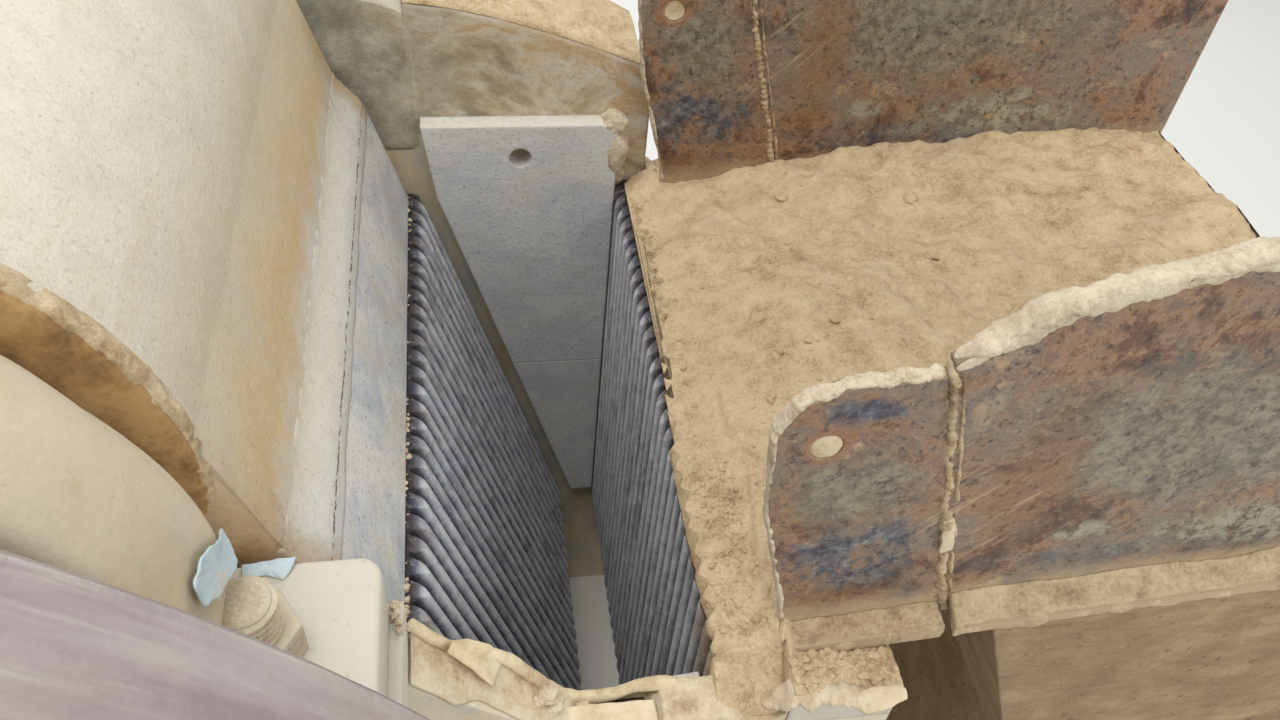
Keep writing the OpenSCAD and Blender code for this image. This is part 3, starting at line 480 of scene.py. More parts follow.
def jaw_casting():
    f = Finish("scoured and dusty jaw", 0.85)
    normal, edge = f.bevel(0.008)
    height = f.distance(JAW_UP, at(0, 0, 0))
    level = f.span(height + (f.noise(0.11, 8, 0.66) - 0.5) * 0.13, 0.10, 0.60)
    bands = f.ramp(level, (0.06, (198, 197, 192)), (0.19, (200, 192, 176)), (0.26, (196, 168, 122)),
                   (0.35, (198, 178, 142)), (0.44, (200, 186, 158)), (0.60, (204, 195, 176)),
                   (0.95, (212, 204, 186)))
    colour = f.coats(
        bands, (0.5, (188, 180, 164), f.noise(0.07, 8, 0.7, bend=0.5), 0.46, 0.66),
        (0.6, (190, 172, 138), f.noise(0.030, 7, 0.68, f.stretch(0.5, 0.14, 0.5)), 0.50, 0.72),
        (0.14, (236, 230, 214), f.cells(0.013), 0.20, 0.10),
        (0.14, (150, 134, 108), f.cells(0.031, feature="DISTANCE_TO_EDGE"), 0.004, 0.0),
        (0.3, (124, 110, 90), f.noise(0.005, 3, 0.6), 0.60, 0.70),
        (0.28, (160, 160, 160), f.noise(0.0035, 4, 0.7), 0.52, 0.70))
    # Painted shade of the broken crack along the clamp bar's top edge, drawn as a thin dark line; then brown cake
    # round the ends of the jaw.
    crack = abs(height + (f.noise(0.03, 6, 0.7) - 0.5) * 0.012 - 0.150)
    crack = f.span(crack, 0.0016, 0.0006) * f.span(f.noise(0.012, 4, 0.7), 0.44, 0.52)
    colour = f.mix(crack * 0.9, colour, (84, 66, 46))
    end = abs(f.part(f.place, 1)) + f.noise(0.04, 8, 0.7) * 0.09
    end = f.span(end, 0.335, 0.375) * f.span(height, 0.30, 0.22)
    brown = f.mix(f.noise(0.008, 5, 0.7), (142, 106, 64), (196, 164, 116))
    colour = f.mix(end * 0.85, colour, brown)
    colour = f.mix(edge * 0.3, colour, (230, 222, 204))
    return f.done(colour, None, f.relief(0.0035, normal, (0.06, 8, 0.6), (0.003, 3, 0.6), 0.2))


jaw_finish = jaw_casting()

# %% [markdown]
# ## Teeth
# The crests are rubbed to a soft blue-grey and the grooves keep dark dust, so the colour follows the depth below
# the plane of the tips; over that wear and dust the crests carry a painted highlight and the grooves painted shade.
# The dot product with the plate's outward direction gives that depth on the leaning plate as well as on the
# upright one. Towards the near wall, and on the top ends of the teeth, brown dust lies over the steel, painted
# darker deep in the grooves as shade.

# %% Toothed plates
def tooth_steel(name, direction, tip):
    f = Finish(name, 0.5, 0.15)
    depth = f.distance(direction, tip) * -1.0
    level = f.span(depth + (f.noise(0.02, 7, 0.7) - 0.5) * 0.009, 0.0, 0.015)
    # Near-white crests and near-black grooves: worn steel and dust, with a painted highlight on the crests and
    # painted shade in the grooves.
    steel = f.ramp(level, (0.0, (228, 230, 230)), (0.20, (184, 188, 194)), (0.42, (92, 96, 110)),
                   (0.70, (40, 42, 52)), (1.0, (28, 28, 36)))
    steel = f.coats(
        steel, (0.55, (186, 180, 170), f.noise(0.006, 4, 0.7), 0.54, 0.72),
        (0.5, (74, 70, 74), f.noise(0.02, 7, 0.72, f.stretch(1, 1, 0.12)), 0.50, 0.62))
    near = f.part(f.place, 1) * -1.0 + f.noise(0.05, 7, 0.7) * 0.16
    dusty = f.span(near, 0.350, 0.405) * 0.85
    top = f.span(f.part(f.place, 2), 0.915, 0.955) * f.span(f.noise(0.02, 6, 0.7), 0.42, 0.58)
    dusty = f.most(dusty, top * 0.45)
    # The dust is painted darker the deeper it lies in a groove, as shade.
    crumb = f.mix(f.noise(0.012, 5, 0.7), (120, 98, 82), (186, 166, 142))
    colour = f.mix(dusty, steel, f.mix(f.span(level, 0.3, 0.9), crumb, (84, 66, 54)))
    shine = f.capped(level * 0.3 + dusty * 0.4 + 0.38)
    return f.done(colour, shine, f.relief(0.0018, f.bevel(0.003)[0], (0.02, 8, 0.65), (0.003, 3), 0.3))


swing_teeth = tooth_steel("swing plate steel", JAW_OUT, at(0, 0, 0))
fixed_teeth = tooth_steel("fixed plate steel", (-1, 0, 0), at(GAPE, 0, 0))

# %% [markdown]
# ## Bare and worn steel
# Cheek plates, clamp bar, toggle and rods are plate and bar steel: grey with fine pale and dark speckle,
# scratches drawn out along one direction, and dust in patches. One recipe serves them all, with its own colours
# and scratch direction.

# %% Worn steel
def worn_steel(name, base, second, drawn=(0.1, 1, 1), dust=0.5, speckle=0.45):
    f = Finish(name, 0.6, 0.1)
    normal, edge = f.bevel(0.004)
    cloud = f.noise(0.10, 7, 0.65, bend=0.5)
    colour = f.mix(f.span(cloud, 0.40, 0.56), base, second)
    colour = f.coats(
        colour, (0.45, (214, 216, 214), f.noise(0.006, 4, 0.6, f.stretch(*drawn)), 0.56, 0.70),
        (speckle, (104, 98, 92), f.noise(0.005, 4, 0.75), 0.56, 0.68),
        (speckle, (224, 224, 220), f.noise(0.0045, 3, 0.7), 0.58, 0.70))
    patch = f.span(f.noise(0.07, 8, 0.7, bend=0.8), 0.50, 0.60) * dust
    patch = f.most(patch, f.span(f.part(f.facing, 2), 0.5, 0.9) * min(0.8, dust * 1.5))
    colour = f.mix(patch, colour, (208, 196, 170))
    colour = f.mix(edge * 0.35, colour, (216, 210, 194))
    shine = f.capped(patch * 0.3 + 0.58)
    return f.done(colour, shine, f.relief(0.002, normal, (0.03, 8, 0.65), (0.003, 3), 0.25))


cheek_finish = worn_steel("speckled cheek plate", (206, 208, 212), (222, 220, 214), (1, 1, 0.3), 0.25, 0.8)
clamp_finish = worn_steel("rubbed clamp bar", (194, 199, 203), (226, 224, 216), (1, 1, 1), 0.45, 0.75)
rod_finish = worn_steel("toggle and rods", (118, 112, 106), (144, 128, 108), (1, 0.2, 1), 0.5)
shaft_finish = worn_steel("shaft ends", (136, 132, 128), (154, 144, 128), (1, 1, 1), 0.35)
nut_finish = worn_steel("dusty nuts", (168, 148, 126), (206, 192, 166), (1, 1, 1), 0.6)

# %% [markdown]
# ## Rusty chute plate
# The chute is thin plate, brown with rust and greyed by dust, with blue-black oily patches, slanting scratches
# from stone and grey-green scabs where wet dust dried. The patches sit in their own places, so each is a soft
# oval: the distance from its middle, measured in ovals, with a torn rim from noise.

# %% Chute plate
def chute_plate():
    f = Finish("rusty oily plate", 0.5)
    normal, edge = f.bevel(0.004)

    def oval(x, z, wide, high, ragged=0.9):
        """1 inside an oval round a place (mm, on the side plates), 0 outside, with a ragged rim."""
        middle, wide, high = at(x, 0, z), 1 / (wide * MM), 1 / (high * MM)
        reach = f.node("Mapping", "Vector", {"Vector": f.place, "Scale": (wide, 0, high),
                                             "Location": (-middle[0] * wide, 0, -middle[2] * high)})
        far = f.node("VectorMath", "Value", {0: reach}, operation="LENGTH")
        return f.span(far + (f.noise(0.05, 8, 0.72, bend=0.5) - 0.5) * ragged * 2, 1.0, 0.55)

    rust = f.ramp(f.noise(0.07, 10, 0.74, bend=0.3), (0.36, (62, 44, 38)), (0.44, (112, 78, 56)),
                  (0.50, (156, 120, 88)), (0.56, (120, 96, 82)), (0.64, (182, 152, 116)))
    film = f.mix(f.noise(0.03, 8, 0.75), (96, 90, 84), (154, 146, 130))
    colour = f.coats(rust, (0.6, film, f.noise(0.10, 9, 0.72, bend=0.2), 0.48, 0.58))
    grime = f.most(oval(338, 210, 60, 60, 1.2), oval(620, 250, 210, 95, 1.2))
    olive = f.mix(f.span(f.noise(0.014, 9, 0.78), 0.42, 0.58), (92, 90, 80), (146, 142, 122))
    colour = f.mix(grime * 0.75, colour, olive)
    warm = f.most(oval(490, 190, 42, 120, 1.1), oval(345, 45, 70, 26, 1.0))
    colour = f.mix(warm * 0.6, colour, (138, 100, 66))
    oil = f.ramp(f.noise(0.016, 9, 0.80), (0.40, (30, 36, 50)), (0.50, (70, 80, 98)),
                 (0.58, (118, 122, 122)), (0.66, (160, 160, 152)))
    wet = f.most(oval(352, 118, 72, 48, 1.5), oval(328, 298, 42, 15, 1.5))
    wet = f.most(wet, oval(700, 88, 300, 24, 1.2) * 0.6) * f.span(f.noise(0.045, 9, 0.75), 0.38, 0.50)
    colour = f.mix(wet * 0.9, colour, oil)
    colour = f.mix(oval(303, 261, 24, 24, 0.25) * 0.7, colour, (158, 104, 66))
    scabs = f.most(oval(740, 118, 130, 44, 1.3), oval(560, 128, 36, 18, 1.2))
    scabs = scabs * f.span(f.noise(0.02, 8, 0.72), 0.40, 0.50)
    colour = f.mix(scabs * 0.8, colour, (160, 156, 134))
    scratch = f.span(f.noise(0.0045, 3, 0.6, f.stretch(1, 1, 0.05, 0.75)), 0.60, 0.68)
    scratch = scratch * f.capped(oval(452, 170, 60, 110, 0.6) + 0.12)
    colour = f.mix(scratch * 0.6, colour, (202, 174, 134))
    colour = f.coats(
        colour, (0.5, (188, 172, 146), f.noise(0.006, 5, 0.78), 0.56, 0.66),
        (0.75, (58, 48, 46), f.noise(0.009, 5, 0.78, f.stretch(1, 1, 1, 0.3)), 0.55, 0.64))
    # Dust at the plates' feet: their height is taken over the sloping chute floor.
    foot = f.part(f.place, 2) - (f.part(f.place, 0) - 0.2285) * 0.0906
    low = f.span(foot + (f.noise(0.05, 8, 0.72) - 0.5) * 0.05, 1.000, 0.975)
    colour = f.mix(f.most(low * 0.85, edge * 0.7), colour, (188, 166, 132))
    shine = f.capped(f.noise(0.05, 6) * 0.4 + low * 0.4)
    relief = f.noise(0.03, 9, 0.7) + f.noise(0.004, 3) * 0.3 + scabs * 0.5
    return f.done(colour, f.capped(shine + 0.30), f.bump(relief, 0.003, normal))


plate_finish = chute_plate()

# %% [markdown]
# ## Flywheel paint
# Belts and hands keep the flywheels' rims clean: a purplish grey paint, worn to a soft gloss, with dust in
# streaks that run round the rim, and in faint patches on the sides.

# %% Flywheels
def flywheel_paint():
    f = Finish("worn purple grey paint", 0.35)
    normal, edge = f.bevel(0.004)
    cloud = f.noise(0.14, 7, 0.6, bend=0.4)
    colour = f.ramp(cloud, (0.3, (116, 100, 102)), (0.5, (132, 117, 117)), (0.7, (148, 134, 132)))
    side = f.span(abs(f.part(f.facing, 1)), 0.6, 0.95)
    worn = 1.0 - side * 0.8
    rings = f.noise(0.030, 6, 0.6, f.stretch(0.12, 1, 0.12))
    colour = f.mix(f.span(rings, 0.50, 0.64) * worn * 0.5, colour, (184, 174, 168))
    colour = f.mix(f.span(rings, 0.46, 0.34) * worn * 0.5, colour, (110, 92, 96))
    colour = f.coats(colour, (0.4, (196, 186, 176), f.noise(0.006, 5, 0.6, f.stretch(0.08, 1, 0.08)), 0.54, 0.70))
    dust = f.span(f.noise(0.10, 8, 0.68, bend=0.8), 0.50, 0.66) * (side * 0.25 + 0.10)
    colour = f.mix(dust, colour, (208, 194, 166))
    colour = f.mix(edge * 0.4, colour, (196, 188, 180))
    shine = f.capped(dust * 0.6 + cloud * 0.6)
    return f.done(colour, shine, f.bump(f.noise(0.02, 7, 0.6), 0.0012, normal))


wheel_finish = flywheel_paint()

# %% [markdown]
# ## Rough block and loose dust
# The block under the chute is rough-cast and brown, with soft clouds, small holes and pale grit.
# Loose dust is a heap of grains, so its relief is strongest at a few millimetres; its colour follows the same
# height, with painted shade in the hollows and a painted highlight on the tops. Caked dust is paler and smoother,
# the damp cake behind the barrel's rim is brown, and one near-black dust is painted shade for a deep hollow.

# %% Block and dust
def rough_block():
    f = Finish("rough brown block", 0.9)
    normal, edge = f.bevel(0.01)
    layers = f.noise(0.07, 9, 0.70, f.stretch(0.8, 0.8, 1.5), bend=0.2)
    colour = f.ramp(layers, (0.3, (126, 102, 74)), (0.5, (152, 126, 94)), (0.68, (176, 150, 114)))
    colour = f.coats(
        colour, (0.7, (88, 68, 48), f.noise(0.012, 5, 0.7), 0.60, 0.68),
        (0.4, (196, 174, 140), f.noise(0.004, 4, 0.75), 0.56, 0.68))
    colour = f.mix(edge * 0.4, colour, (198, 176, 138))
    relief = layers + f.noise(0.008, 5, 0.7) * 0.3
    return f.done(colour, None, f.bump(relief, 0.006, normal))


def loose_dust(name, dark, mid, light, depth, grit):
    """Clods and grains as one height: painted shade in the hollows, a painted highlight on the tops, and the whole
    clouded by a wide noise.
    """
    f = Finish(name, 0.95)
    height = f.noise(0.035, 10, 0.72) + f.noise(0.0035, 4, 0.75) * grit
    low, high = 0.36 + 0.32 * grit, 0.60 + 0.66 * grit
    # Colour by the bump's own height: painted shade low, painted highlight high.
    colour = f.ramp(f.span(height, low, high), (0.1, dark), (0.45, mid), (0.85, light))
    colour = f.coats(colour, (0.4, light, f.noise(0.16, 6, 0.62), 0.38, 0.66))
    return f.done(colour, None, f.bump(height, depth))


block_finish = rough_block()
dust_finish, crust_finish, ridge_finish, lip_finish, \
    white_crust, smooth_cake, damp_cake, hollow_painted_shade = (
    loose_dust(*row) for row in (
        ("loose stone dust", (166, 134, 94), (212, 184, 142), (232, 208, 168), 0.006, 0.6),
        ("caked dust", (160, 134, 100), (196, 176, 142), (216, 202, 174), 0.0025, 0.3),
        ("torn crust ridge", (128, 98, 62), (180, 152, 112), (210, 192, 158), 0.003, 0.5),
        ("dust on the lips", (128, 104, 78), (176, 152, 118), (202, 182, 148), 0.003, 0.5),
        ("pale caked edge", (150, 131, 104), (196, 178, 148), (222, 208, 182), 0.003, 0.5),
        ("smooth pale cake", (176, 152, 116), (202, 182, 146), (216, 200, 168), 0.001, 0.15),
        ("damp brown cake", (92, 66, 38), (142, 106, 62), (174, 140, 92), 0.0012, 0.15),
        # The last row is painted shade: a near-black brown that stands for the depth of the hollow under the torn
        # guard.
        ("painted shade in the hollow", (34, 28, 22), (52, 42, 32), (84, 68, 50), 0.002, 0.4)))

# %% [markdown]
# ## Dress the CAD pieces
# Each CAD node keeps its mesh and takes a finish in its own material slots. A table of names says which.

# %% Finishes on the nodes
DRESS = {
    casting: "near_bearing_housing far_bearing_housing near_end_cover far_end_cover near_seat_beam far_seat_beam "
             "front_ledge",
    wall_casting: "near_side_wall far_side_wall near_base_flange far_base_flange near_wall_ribs far_wall_ribs "
                  "front_wall front_wall_ribs rear_wall rear_wall_ribs",
    guard_casting: "far_guard_plate",
    nut_finish: "near_housing_studs far_housing_studs",
    jaw_finish: "swing_jaw barrel_end_rings",
    swing_teeth: "swing_jaw_plate",
    fixed_teeth: "fixed_jaw_plate",
    cheek_finish: "near_cheek_plate far_cheek_plate near_lower_cheek far_lower_cheek",
    clamp_finish: "clamp_bar",
    rod_finish: "shim_pack toggle_block toggle_plate tension_rods tension_springs tension_pins",
    shaft_finish: "eccentric_shaft shaft_end_plates",
    wheel_finish: "near_flywheel belt_flywheel",
    plate_finish: "chute_floor near_chute_wall far_chute_wall near_wing_plate far_wing_plate",
    block_finish: "chute_block",
}
dressed = 0
for finish, names in DRESS.items():
    for name in names.split():
        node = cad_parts[name]
        node.data.materials.clear()
        node.data.materials.append(finish)
        dressed += 1
print("dressed nodes:", dressed, "of", len(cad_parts))

# %% [markdown]
# ## Bearing housings
# A real housing is a dome rather than a drum: its shoulder falls away towards the jaw, deepest on top, and a
# pocket beside each stud lets a spanner in. It is a profile turned about the shaft, with a radius that also
# depends on the angle, cut off level at its seat. A slab with rounded corners is its foot.

# %% Housings
HOUSING_R, BORE_R, FOOT_TOP, STUD_Y = 262, 75.5, 200, WALL_Y + 69


def dome(side):
    """Housing's radius, less the shoulder's depth (22 at the sides, 52 on top) times the 1.5th power of the share
    of the shoulder still to go, less a bell-shaped pocket by each stud, and never below the seat."""
    a = circle(240)[:, None]
    y = np.array([350, 350.5, 354, 360, 368, 378, 390, 404, 420, 440, 460, 478, 483, 486.5, 487.8, 488])[None]
    high = np.clip((np.sin(a) + 0.17) / 0.6, 0, 1)
    left = np.clip(1 - (y - WALL_Y) / (46 + 30 * high), 0, 1)
    r = HOUSING_R - (22 + 30 * high) * left ** 1.5 - np.interp(y, [478, 483, 486.5, 488], [0, 1, 3.5, 6])
    pocket = np.exp(-((r * np.sin(a) + 62) / 30) ** 4 - ((y - STUD_Y) / 38) ** 4)
    r = r - 24 * pocket + lumps(at(r * np.cos(a), y, r * np.sin(a)), 0.06, 3, 3)
    r = np.minimum(r, 148 / np.maximum(-np.sin(a), 0.4))
    r[:, [0, -1]] = BORE_R
    return at(SHAFT_X + r * np.cos(a), side * (y + 0 * a), SHAFT_Z + r * np.sin(a)), quads(240, 16, True, True)


def slab(side):
    """Rounded rectangle in rings of less and less size near the top, closed by a flat face at each end."""
    inset, z = np.array([(0, 135.2), (0, 194), (0.6, 196.6), (2.2, 198.8), (5, FOOT_TOP)]).T[..., None, None]
    turn = np.linspace(0, np.pi / 2, 12) + np.arange(4)[:, None] * np.pi / 2
    across, along_y = np.array([(1, 1), (-1, 1), (-1, -1), (1, -1)]).T[..., None]
    x = (across * 329 + (16 - inset) * np.cos(turn)).reshape(5, 48)
    y = (along_y * 53 + (16 - inset) * np.sin(turn)).reshape(5, 48)
    ends = np.arange(48)[None] + np.array([[0], [4 * 48]])
    return at(SHAFT_X + x, side * (STUD_Y + y), z[..., 0]), quads(5, 48, wrap_v=True), ends


for side, word in SIDES:
    housing = piece(word + "_housing_dome", "frame", casting, [dome(side), slab(side)], merge=1e-6)
    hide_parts(word + "_bearing_housing")

# %% [markdown]
# ## Dust drift on the ledge and in the chute
# Dust buries the ledge behind the fixed plate and half fills the chute's floor. Its top is a height that
# depends on two lengths: it starts at the teeth with a broken edge, climbs towards the chute, and noise gives
# it clods and dips. A low step runs across it, where a crust has broken. The underside isn't seen, so it gets
# only two points on each row.

# %% Drift
def teeth_top(x):
    """Top of the fixed plate: its tooth ends are quarter circles of 22 mm radius under the level top."""
    return 5 - 22 + np.sqrt(22 ** 2 - np.clip(GAPE + 22 - x, 0, 22) ** 2)


def drift_height(x, y):
    """Broken line of heights along the machine, plus lumps of 160, 35 and 9 mm cells, plus the crust's step."""
    base = np.interp(x, [250, 262, 285, 312, 400, 520, 700, 990], [3, 9, 17, 27, 48, 70, 88, 95])
    p = at(x, y, 0)
    heap_up = 15 * lumps(p, 0.16, 3, 3) + 5.5 * lumps(p, 0.035, 9, 3) + 1.7 * lumps(p, 0.009, 15, 2)
    line = 311 + 5 * np.sin(y / 34) + 6 * lumps(at(0 * x, y, 0), 0.05, 77, 2)
    step = 2.6 * (1 + np.tanh((x - line) / 1.6)) * np.exp(-np.abs(x - line) / 22) * np.clip((-40 - y) / 30, 0, 1)
    end = -9 * np.clip((-y - 318) / 32, 0, 1) ** 1.4 * np.clip((318 - x) / 14, 0, 1)
    return base + heap_up * np.interp(x, [250, 290, 420], [0.3, 0.65, 1.0]) + step + end


DRIFT_EDGE = ([-349, -293, -200, -110, 0, 111, 242, 349], [252, 251, 252, 254, 262, 273, 271, 267])


def drift():
    u, v = grid(300, 270, v=(-1, 1))
    y = v * 349
    edge = np.interp(y, *DRIFT_EDGE) + 2 + 3.4 * lumps(at(0 * v, y, 0), 0.022, 5) + 3.6 * np.cos(y * 2 * np.pi / 25)
    x = np.maximum(edge, 250.5) + (993 - edge) * u ** 1.25
    y = v * np.interp(x, [306, 315], [349, 317.4])
    low = np.interp(x, [311.8, 312.2, 315.8, 316.2, 1000], [5, 0, 0, 12, 74])
    low = np.where(x < 300, teeth_top(x), low) + 0.4
    top = np.maximum(drift_height(x, y), low + 1.0)
    lip = np.exp(-(u / 0.006) ** 2)
    return heap(x, y, top * (1 - lip) + (low + 1.5) * lip, low)


piece("chute_dust", "frame", dust_finish, [drift()])

# %% [markdown]
# Outside the chute's side plates the drift falls to the ledge's end, and by the near wall it runs down on to the
# wall's top, which has worn lower than the ledge.

# %% Slopes beside the chute
def slope_height(x, y, side, low):
    """From the drift's height at the inner edge down to a few mm over the ledge or the wall's top."""
    inner = np.interp(x, [308, 315], [349, 330.5])
    v = np.clip((y - inner) / (393 - inner), 0, 1)
    share = np.clip((x - 309) / 14, 0, 1)
    start = drift_height(x, side * inner) * (1 - share) + np.interp(x, [315, 330, 345, 412], [20, 11, 8, 5]) * share
    foot = low + np.interp(x, [250, 300, 312], [16, 18, 4])
    p = at(x, side * y, 0)
    rough = (3 * lumps(p, 0.03, 21, 3) + 1.8 * lumps(p, 0.008, 27, 2)) * np.minimum(v * 5, 1)
    return np.maximum(foot + (start - foot) * (1 - v) ** 0.8 + rough + 3 * np.exp(-((x - 338) / 26) ** 2), low + 1)


def slope(side, x0, wall_z):
    u, v = grid(190, 70)
    x = x0 + (411 - x0) * u
    inner = np.interp(x, [307, 316], [345, 319])
    y = inner + (np.interp(x, [306, 320], [391, 394]) - inner) * v
    under = np.interp(x, [311.6, 312.4], [wall_z + 0.4, 0.4])
    low = np.where((y < 350.2) & (x < 312.4), teeth_top(np.minimum(x, 311)) + 0.4, under)
    top = np.maximum(slope_height(x, y, side, low), low + np.interp(x, [250, 308, 318], [3.2, 3.2, 1.0]))
    return heap(x, side * y, top, under)


piece("near_ledge_dust", "frame", dust_finish, [slope(-1, 251, -48)])
piece("far_ledge_dust", "frame", dust_finish, [slope(1, 296, -6)])

# %% [markdown]
# Crumbs and small clods lie on the dust, by the wing plate's foot and in corners. A crumb is a rough ball: its
# radius changes strongly with noise, and its faces stay flat, as a broken lump's do. A whole field of them is
# worked out as one array.

# %% Crumbs
def rubble(places, seed=1, squash=0.62):
    """Balls of 6 by 7 faces (49 points) at (x, y, z, size) in mm: radius = size / 2 times 1 plus strong noise."""
    places = np.asarray(places, float)
    n, way = len(places), ball(7, 7)
    shift = np.arange(n)[:, None, None, None] * 3.7
    r = places[:, 3, None, None, None] / 2 * (1 + 0.42 * lumps(way + shift, 0.7, seed, 2)[..., None])
    points = at(*places[:, :3].T)[:, None, None] + way * r * np.array([1, 1, squash]) * MM
    faces = quads(7, 7, wrap_v=True)
    return points.reshape(-1, 3), (faces + 49 * np.arange(n)[:, None, None]).reshape(-1, 4)


dice = np.random.default_rng(7)


def strewn(count, x0, x1, y0, y1, small, large, power=3):
    """Places on the drift: most crumbs are small, as the size is drawn with a high power of a share."""
    x, y = dice.uniform(x0, x1, count), dice.uniform(y0, y1, count)
    size = small + (large - small) * dice.random(count) ** power
    return np.stack([x, y, drift_height(x, y) + size * 0.05, size], -1)


crumbs = np.concatenate([strewn(420, 262, 304, -338, -150, 1.8, 7), strewn(160, 304, 560, -300, 290, 2.5, 9),
                         strewn(14, 330, 620, -260, 260, 9, 20, 1), strewn(120, 268, 290, -150, 330, 2, 8)])
x, y = dice.uniform(314, 408, 260), dice.uniform(-392, -357, 260)
size = 2 + 8 * dice.random(260) ** 3
ledge_crumbs = np.stack([x, y, slope_height(x, -y, -1, 0.4) + 0.1 * size, size], -1)
piece("dust_clods", "frame", dust_finish, [rubble(crumbs), rubble(ledge_crumbs, 5)], smooth=False, merge=1e-6)

# %% [markdown]
# ## Crust round the barrel's ends
# Grease and dust bake into a torn collar on each end of the barrel. Outside is a pale ragged crust on the rim,
# and behind it a smooth brown hollow that leads down to the housing. Both are a profile of distance from the
# shaft and place along it, carried right round, with noise strong on the crust and weak in the hollow.

# %% Barrel collars
def collar(side, profile, rough, seed, size=0.016):
    """Ring: each corner (distance from the shaft, place along it, share of the noise) is carried round."""
    a = circle(540)[:, None]
    r, y, share = np.array(profile, float).T[:, None]
    out, outwards = np.stack(np.broadcast_arrays(np.cos(a), 0 * r, np.sin(a)), -1), np.array([0, side * MM, 0])
    ring = at(SHAFT_X, 0, SHAFT_Z - THROW) + out * r[..., None] * MM + outwards * y[..., None]
    wide = 0.35 * lumps(ring, 0.09, seed + 9, 2)
    push = (rough * share * (lumps(ring, size, seed, 3) + wide))[..., None] * MM
    drop = (np.minimum(lumps(ring, size, seed + 5, 2), 0.6) * share * rough * 0.5)[..., None]
    return ring + out * push + outwards * drop, quads(540, len(profile), True, True)


CRUST = [(236, 311, 0), (238.5, 313, 0.15), (240.5, 318, 0.7), (242.5, 323, 1), (243, 327, 1.2), (240.5, 331, 1.2),
         (236, 333, 0.8), (233, 329, 0), (234, 315, 0)]
HOLLOW = [(237, 326, 0.1), (239, 331.5, 0.6), (236.5, 334.5, 0.8), (231, 336.5, 0.7), (224, 338.5, 0.5),
          (216, 340.5, 0.4), (208, 342, 0.3), (199, 343, 0.2), (191, 343.2, 0.1), (188.5, 342, 0), (189, 333, 0),
          (212, 328, 0)]
for side, word in SIDES:
    piece(word + "_barrel_crust", "swing_jaw_body", ridge_finish, [collar(side, CRUST, 4.2, 31, 0.010)], merge=1e-6)
    piece(word + "_barrel_grease", "swing_jaw_body", damp_cake, [collar(side, HOLLOW, 1.5, 47, 0.035)], merge=1e-6)

# %% [markdown]
# ## Dust on the clamp bar
# The clamp bar lies almost flush in the jaw's face: caked dust fills the step above it and leaves only a fine
# broken crack, whose shade is painted on the jaw's finish as a thin dark line.

# %% Clamp bar dust
CLAMP_TOP, CLAMP_FACE = 152, JAW_FACE + 15


def clamp_fillet():
    """From the bar's face over its top edge back to the casting's face: half a wave, with a torn lower rim."""
    u, v = grid(420, 34, u=(-1, 1))
    y = u * 328
    rim = CLAMP_TOP - 16 + 2.2 * lumps(at(y * 0, y, 0), 0.02, 4, 4) + 2 * lumps(at(y * 0, y, 0), 0.09, 8, 2)
    up = rim + (CLAMP_TOP + 46 - rim) * v
    fall = np.clip((up - CLAMP_TOP + 6) / 52, 0, 1)
    rough = 0.4 * lumps(at(up, y, 0), 0.012, 6, 3) * np.clip(v * 6, 0, 1)
    out = CLAMP_FACE + 0.5 - 15.6 * (1 - np.cos(np.pi * fall)) / 2 + rough
    return skin(on_jaw(out, y, up), on_jaw(out - 12, y, up))


def end_cake(side):
    """The jaw's face carried round its end as a quarter ellipse, 34 mm deep and about 20 mm wide, with lumps."""
    u, t = grid(150, 30, v=(0, np.pi / 2))
    up = 128 + (318 - 128) * u
    deep = 34 * np.clip(np.minimum(u, 1 - u) / 0.08, 0, 1) ** 0.5
    out = JAW_FACE + 0.4 - deep * (1 - np.cos(t))
    y = 317 + np.interp(up, [240, 300], [21, 15.5]) * np.sin(t)
    rough = 1.1 * lumps(on_jaw(out, y, up), 0.03, 15, 4) * np.sin(2 * t)
    low = on_jaw(JAW_FACE - 14 - 30 * np.sin(t), side * np.minimum(y - 3, 318), up)
    return skin(on_jaw(out + rough, side * y, up), low)


for side, word in SIDES:
    piece(word + "_end_cake", "swing_jaw_body", jaw_finish, [end_cake(side)])
piece("clamp_fillet_dust", "swing_jaw_body", jaw_finish, [clamp_fillet()])

# %% [markdown]
# Crumbs of brown dust sit in the crack over the teeth, and a ragged fringe of it hangs on the tooth ends.

# %% Crumbs over the teeth
y = np.concatenate([dice.uniform(-338, 335, 150), dice.uniform(-342, -240, 130)])
out, up = dice.uniform(-24, -14, len(y)), dice.uniform(-2, 4, len(y))
spots = (on_jaw(out, y, up) - at(0, 0, 0)) / MM
crumbs = np.column_stack([spots, 1.6 + 6 * dice.random(len(y)) ** 3])
piece("tooth_crumbs", "swing_jaw_body", crust_finish, [rubble(crumbs, 9, 0.8)], smooth=False, merge=1e-6)

# %% [markdown]
# ## What is left of the guard on the near wall
# The near guard has been torn off. A rolled rim still follows the wall's worn top, with a caked skin beside it,
# bent tongues of plate, a hollow under a raised stretch, and a tail that lies over the ledge. The rim is a bar
# along a measured line, the skin is a grid between the rim and the wall's outer edge, and each tongue is a
# sheet inside a torn outline.

# %% Rim and skin
def wall_top(x):
    """Height of the near wall's top: it falls from the seat beam as the 0.9th power, then is level."""
    return -48 + 137 * (1 - np.clip((x + 5) / 135, 0, 1)) ** 0.9


RIM_X = [-4, 11, 26, 42, 60, 73, 88, 102, 118, 132, 150, 168, 182, 200, 243, 290]
RIM_Z = [106, 86, 70, 64, 50, 37, 14, -10, -32, -39, -41, -35, -28, -27, -36, -34]


def swayed(path, depth, *waves):
    """The path, moved up to `depth` metres sideways and up and down by two noises (cell, seed)."""
    side, up = (lumps(path, size, seed, 3) for size, seed in waves)
    return path + depth * np.stack([0 * side, side, up], -1)


rim_path = along([(x, -353 + (x > 250) * -8, z) for x, z in zip(RIM_X, RIM_Z)], 420)
rim_path = swayed(rim_path, 0.0012, (0.05, 3), (0.04, 7))


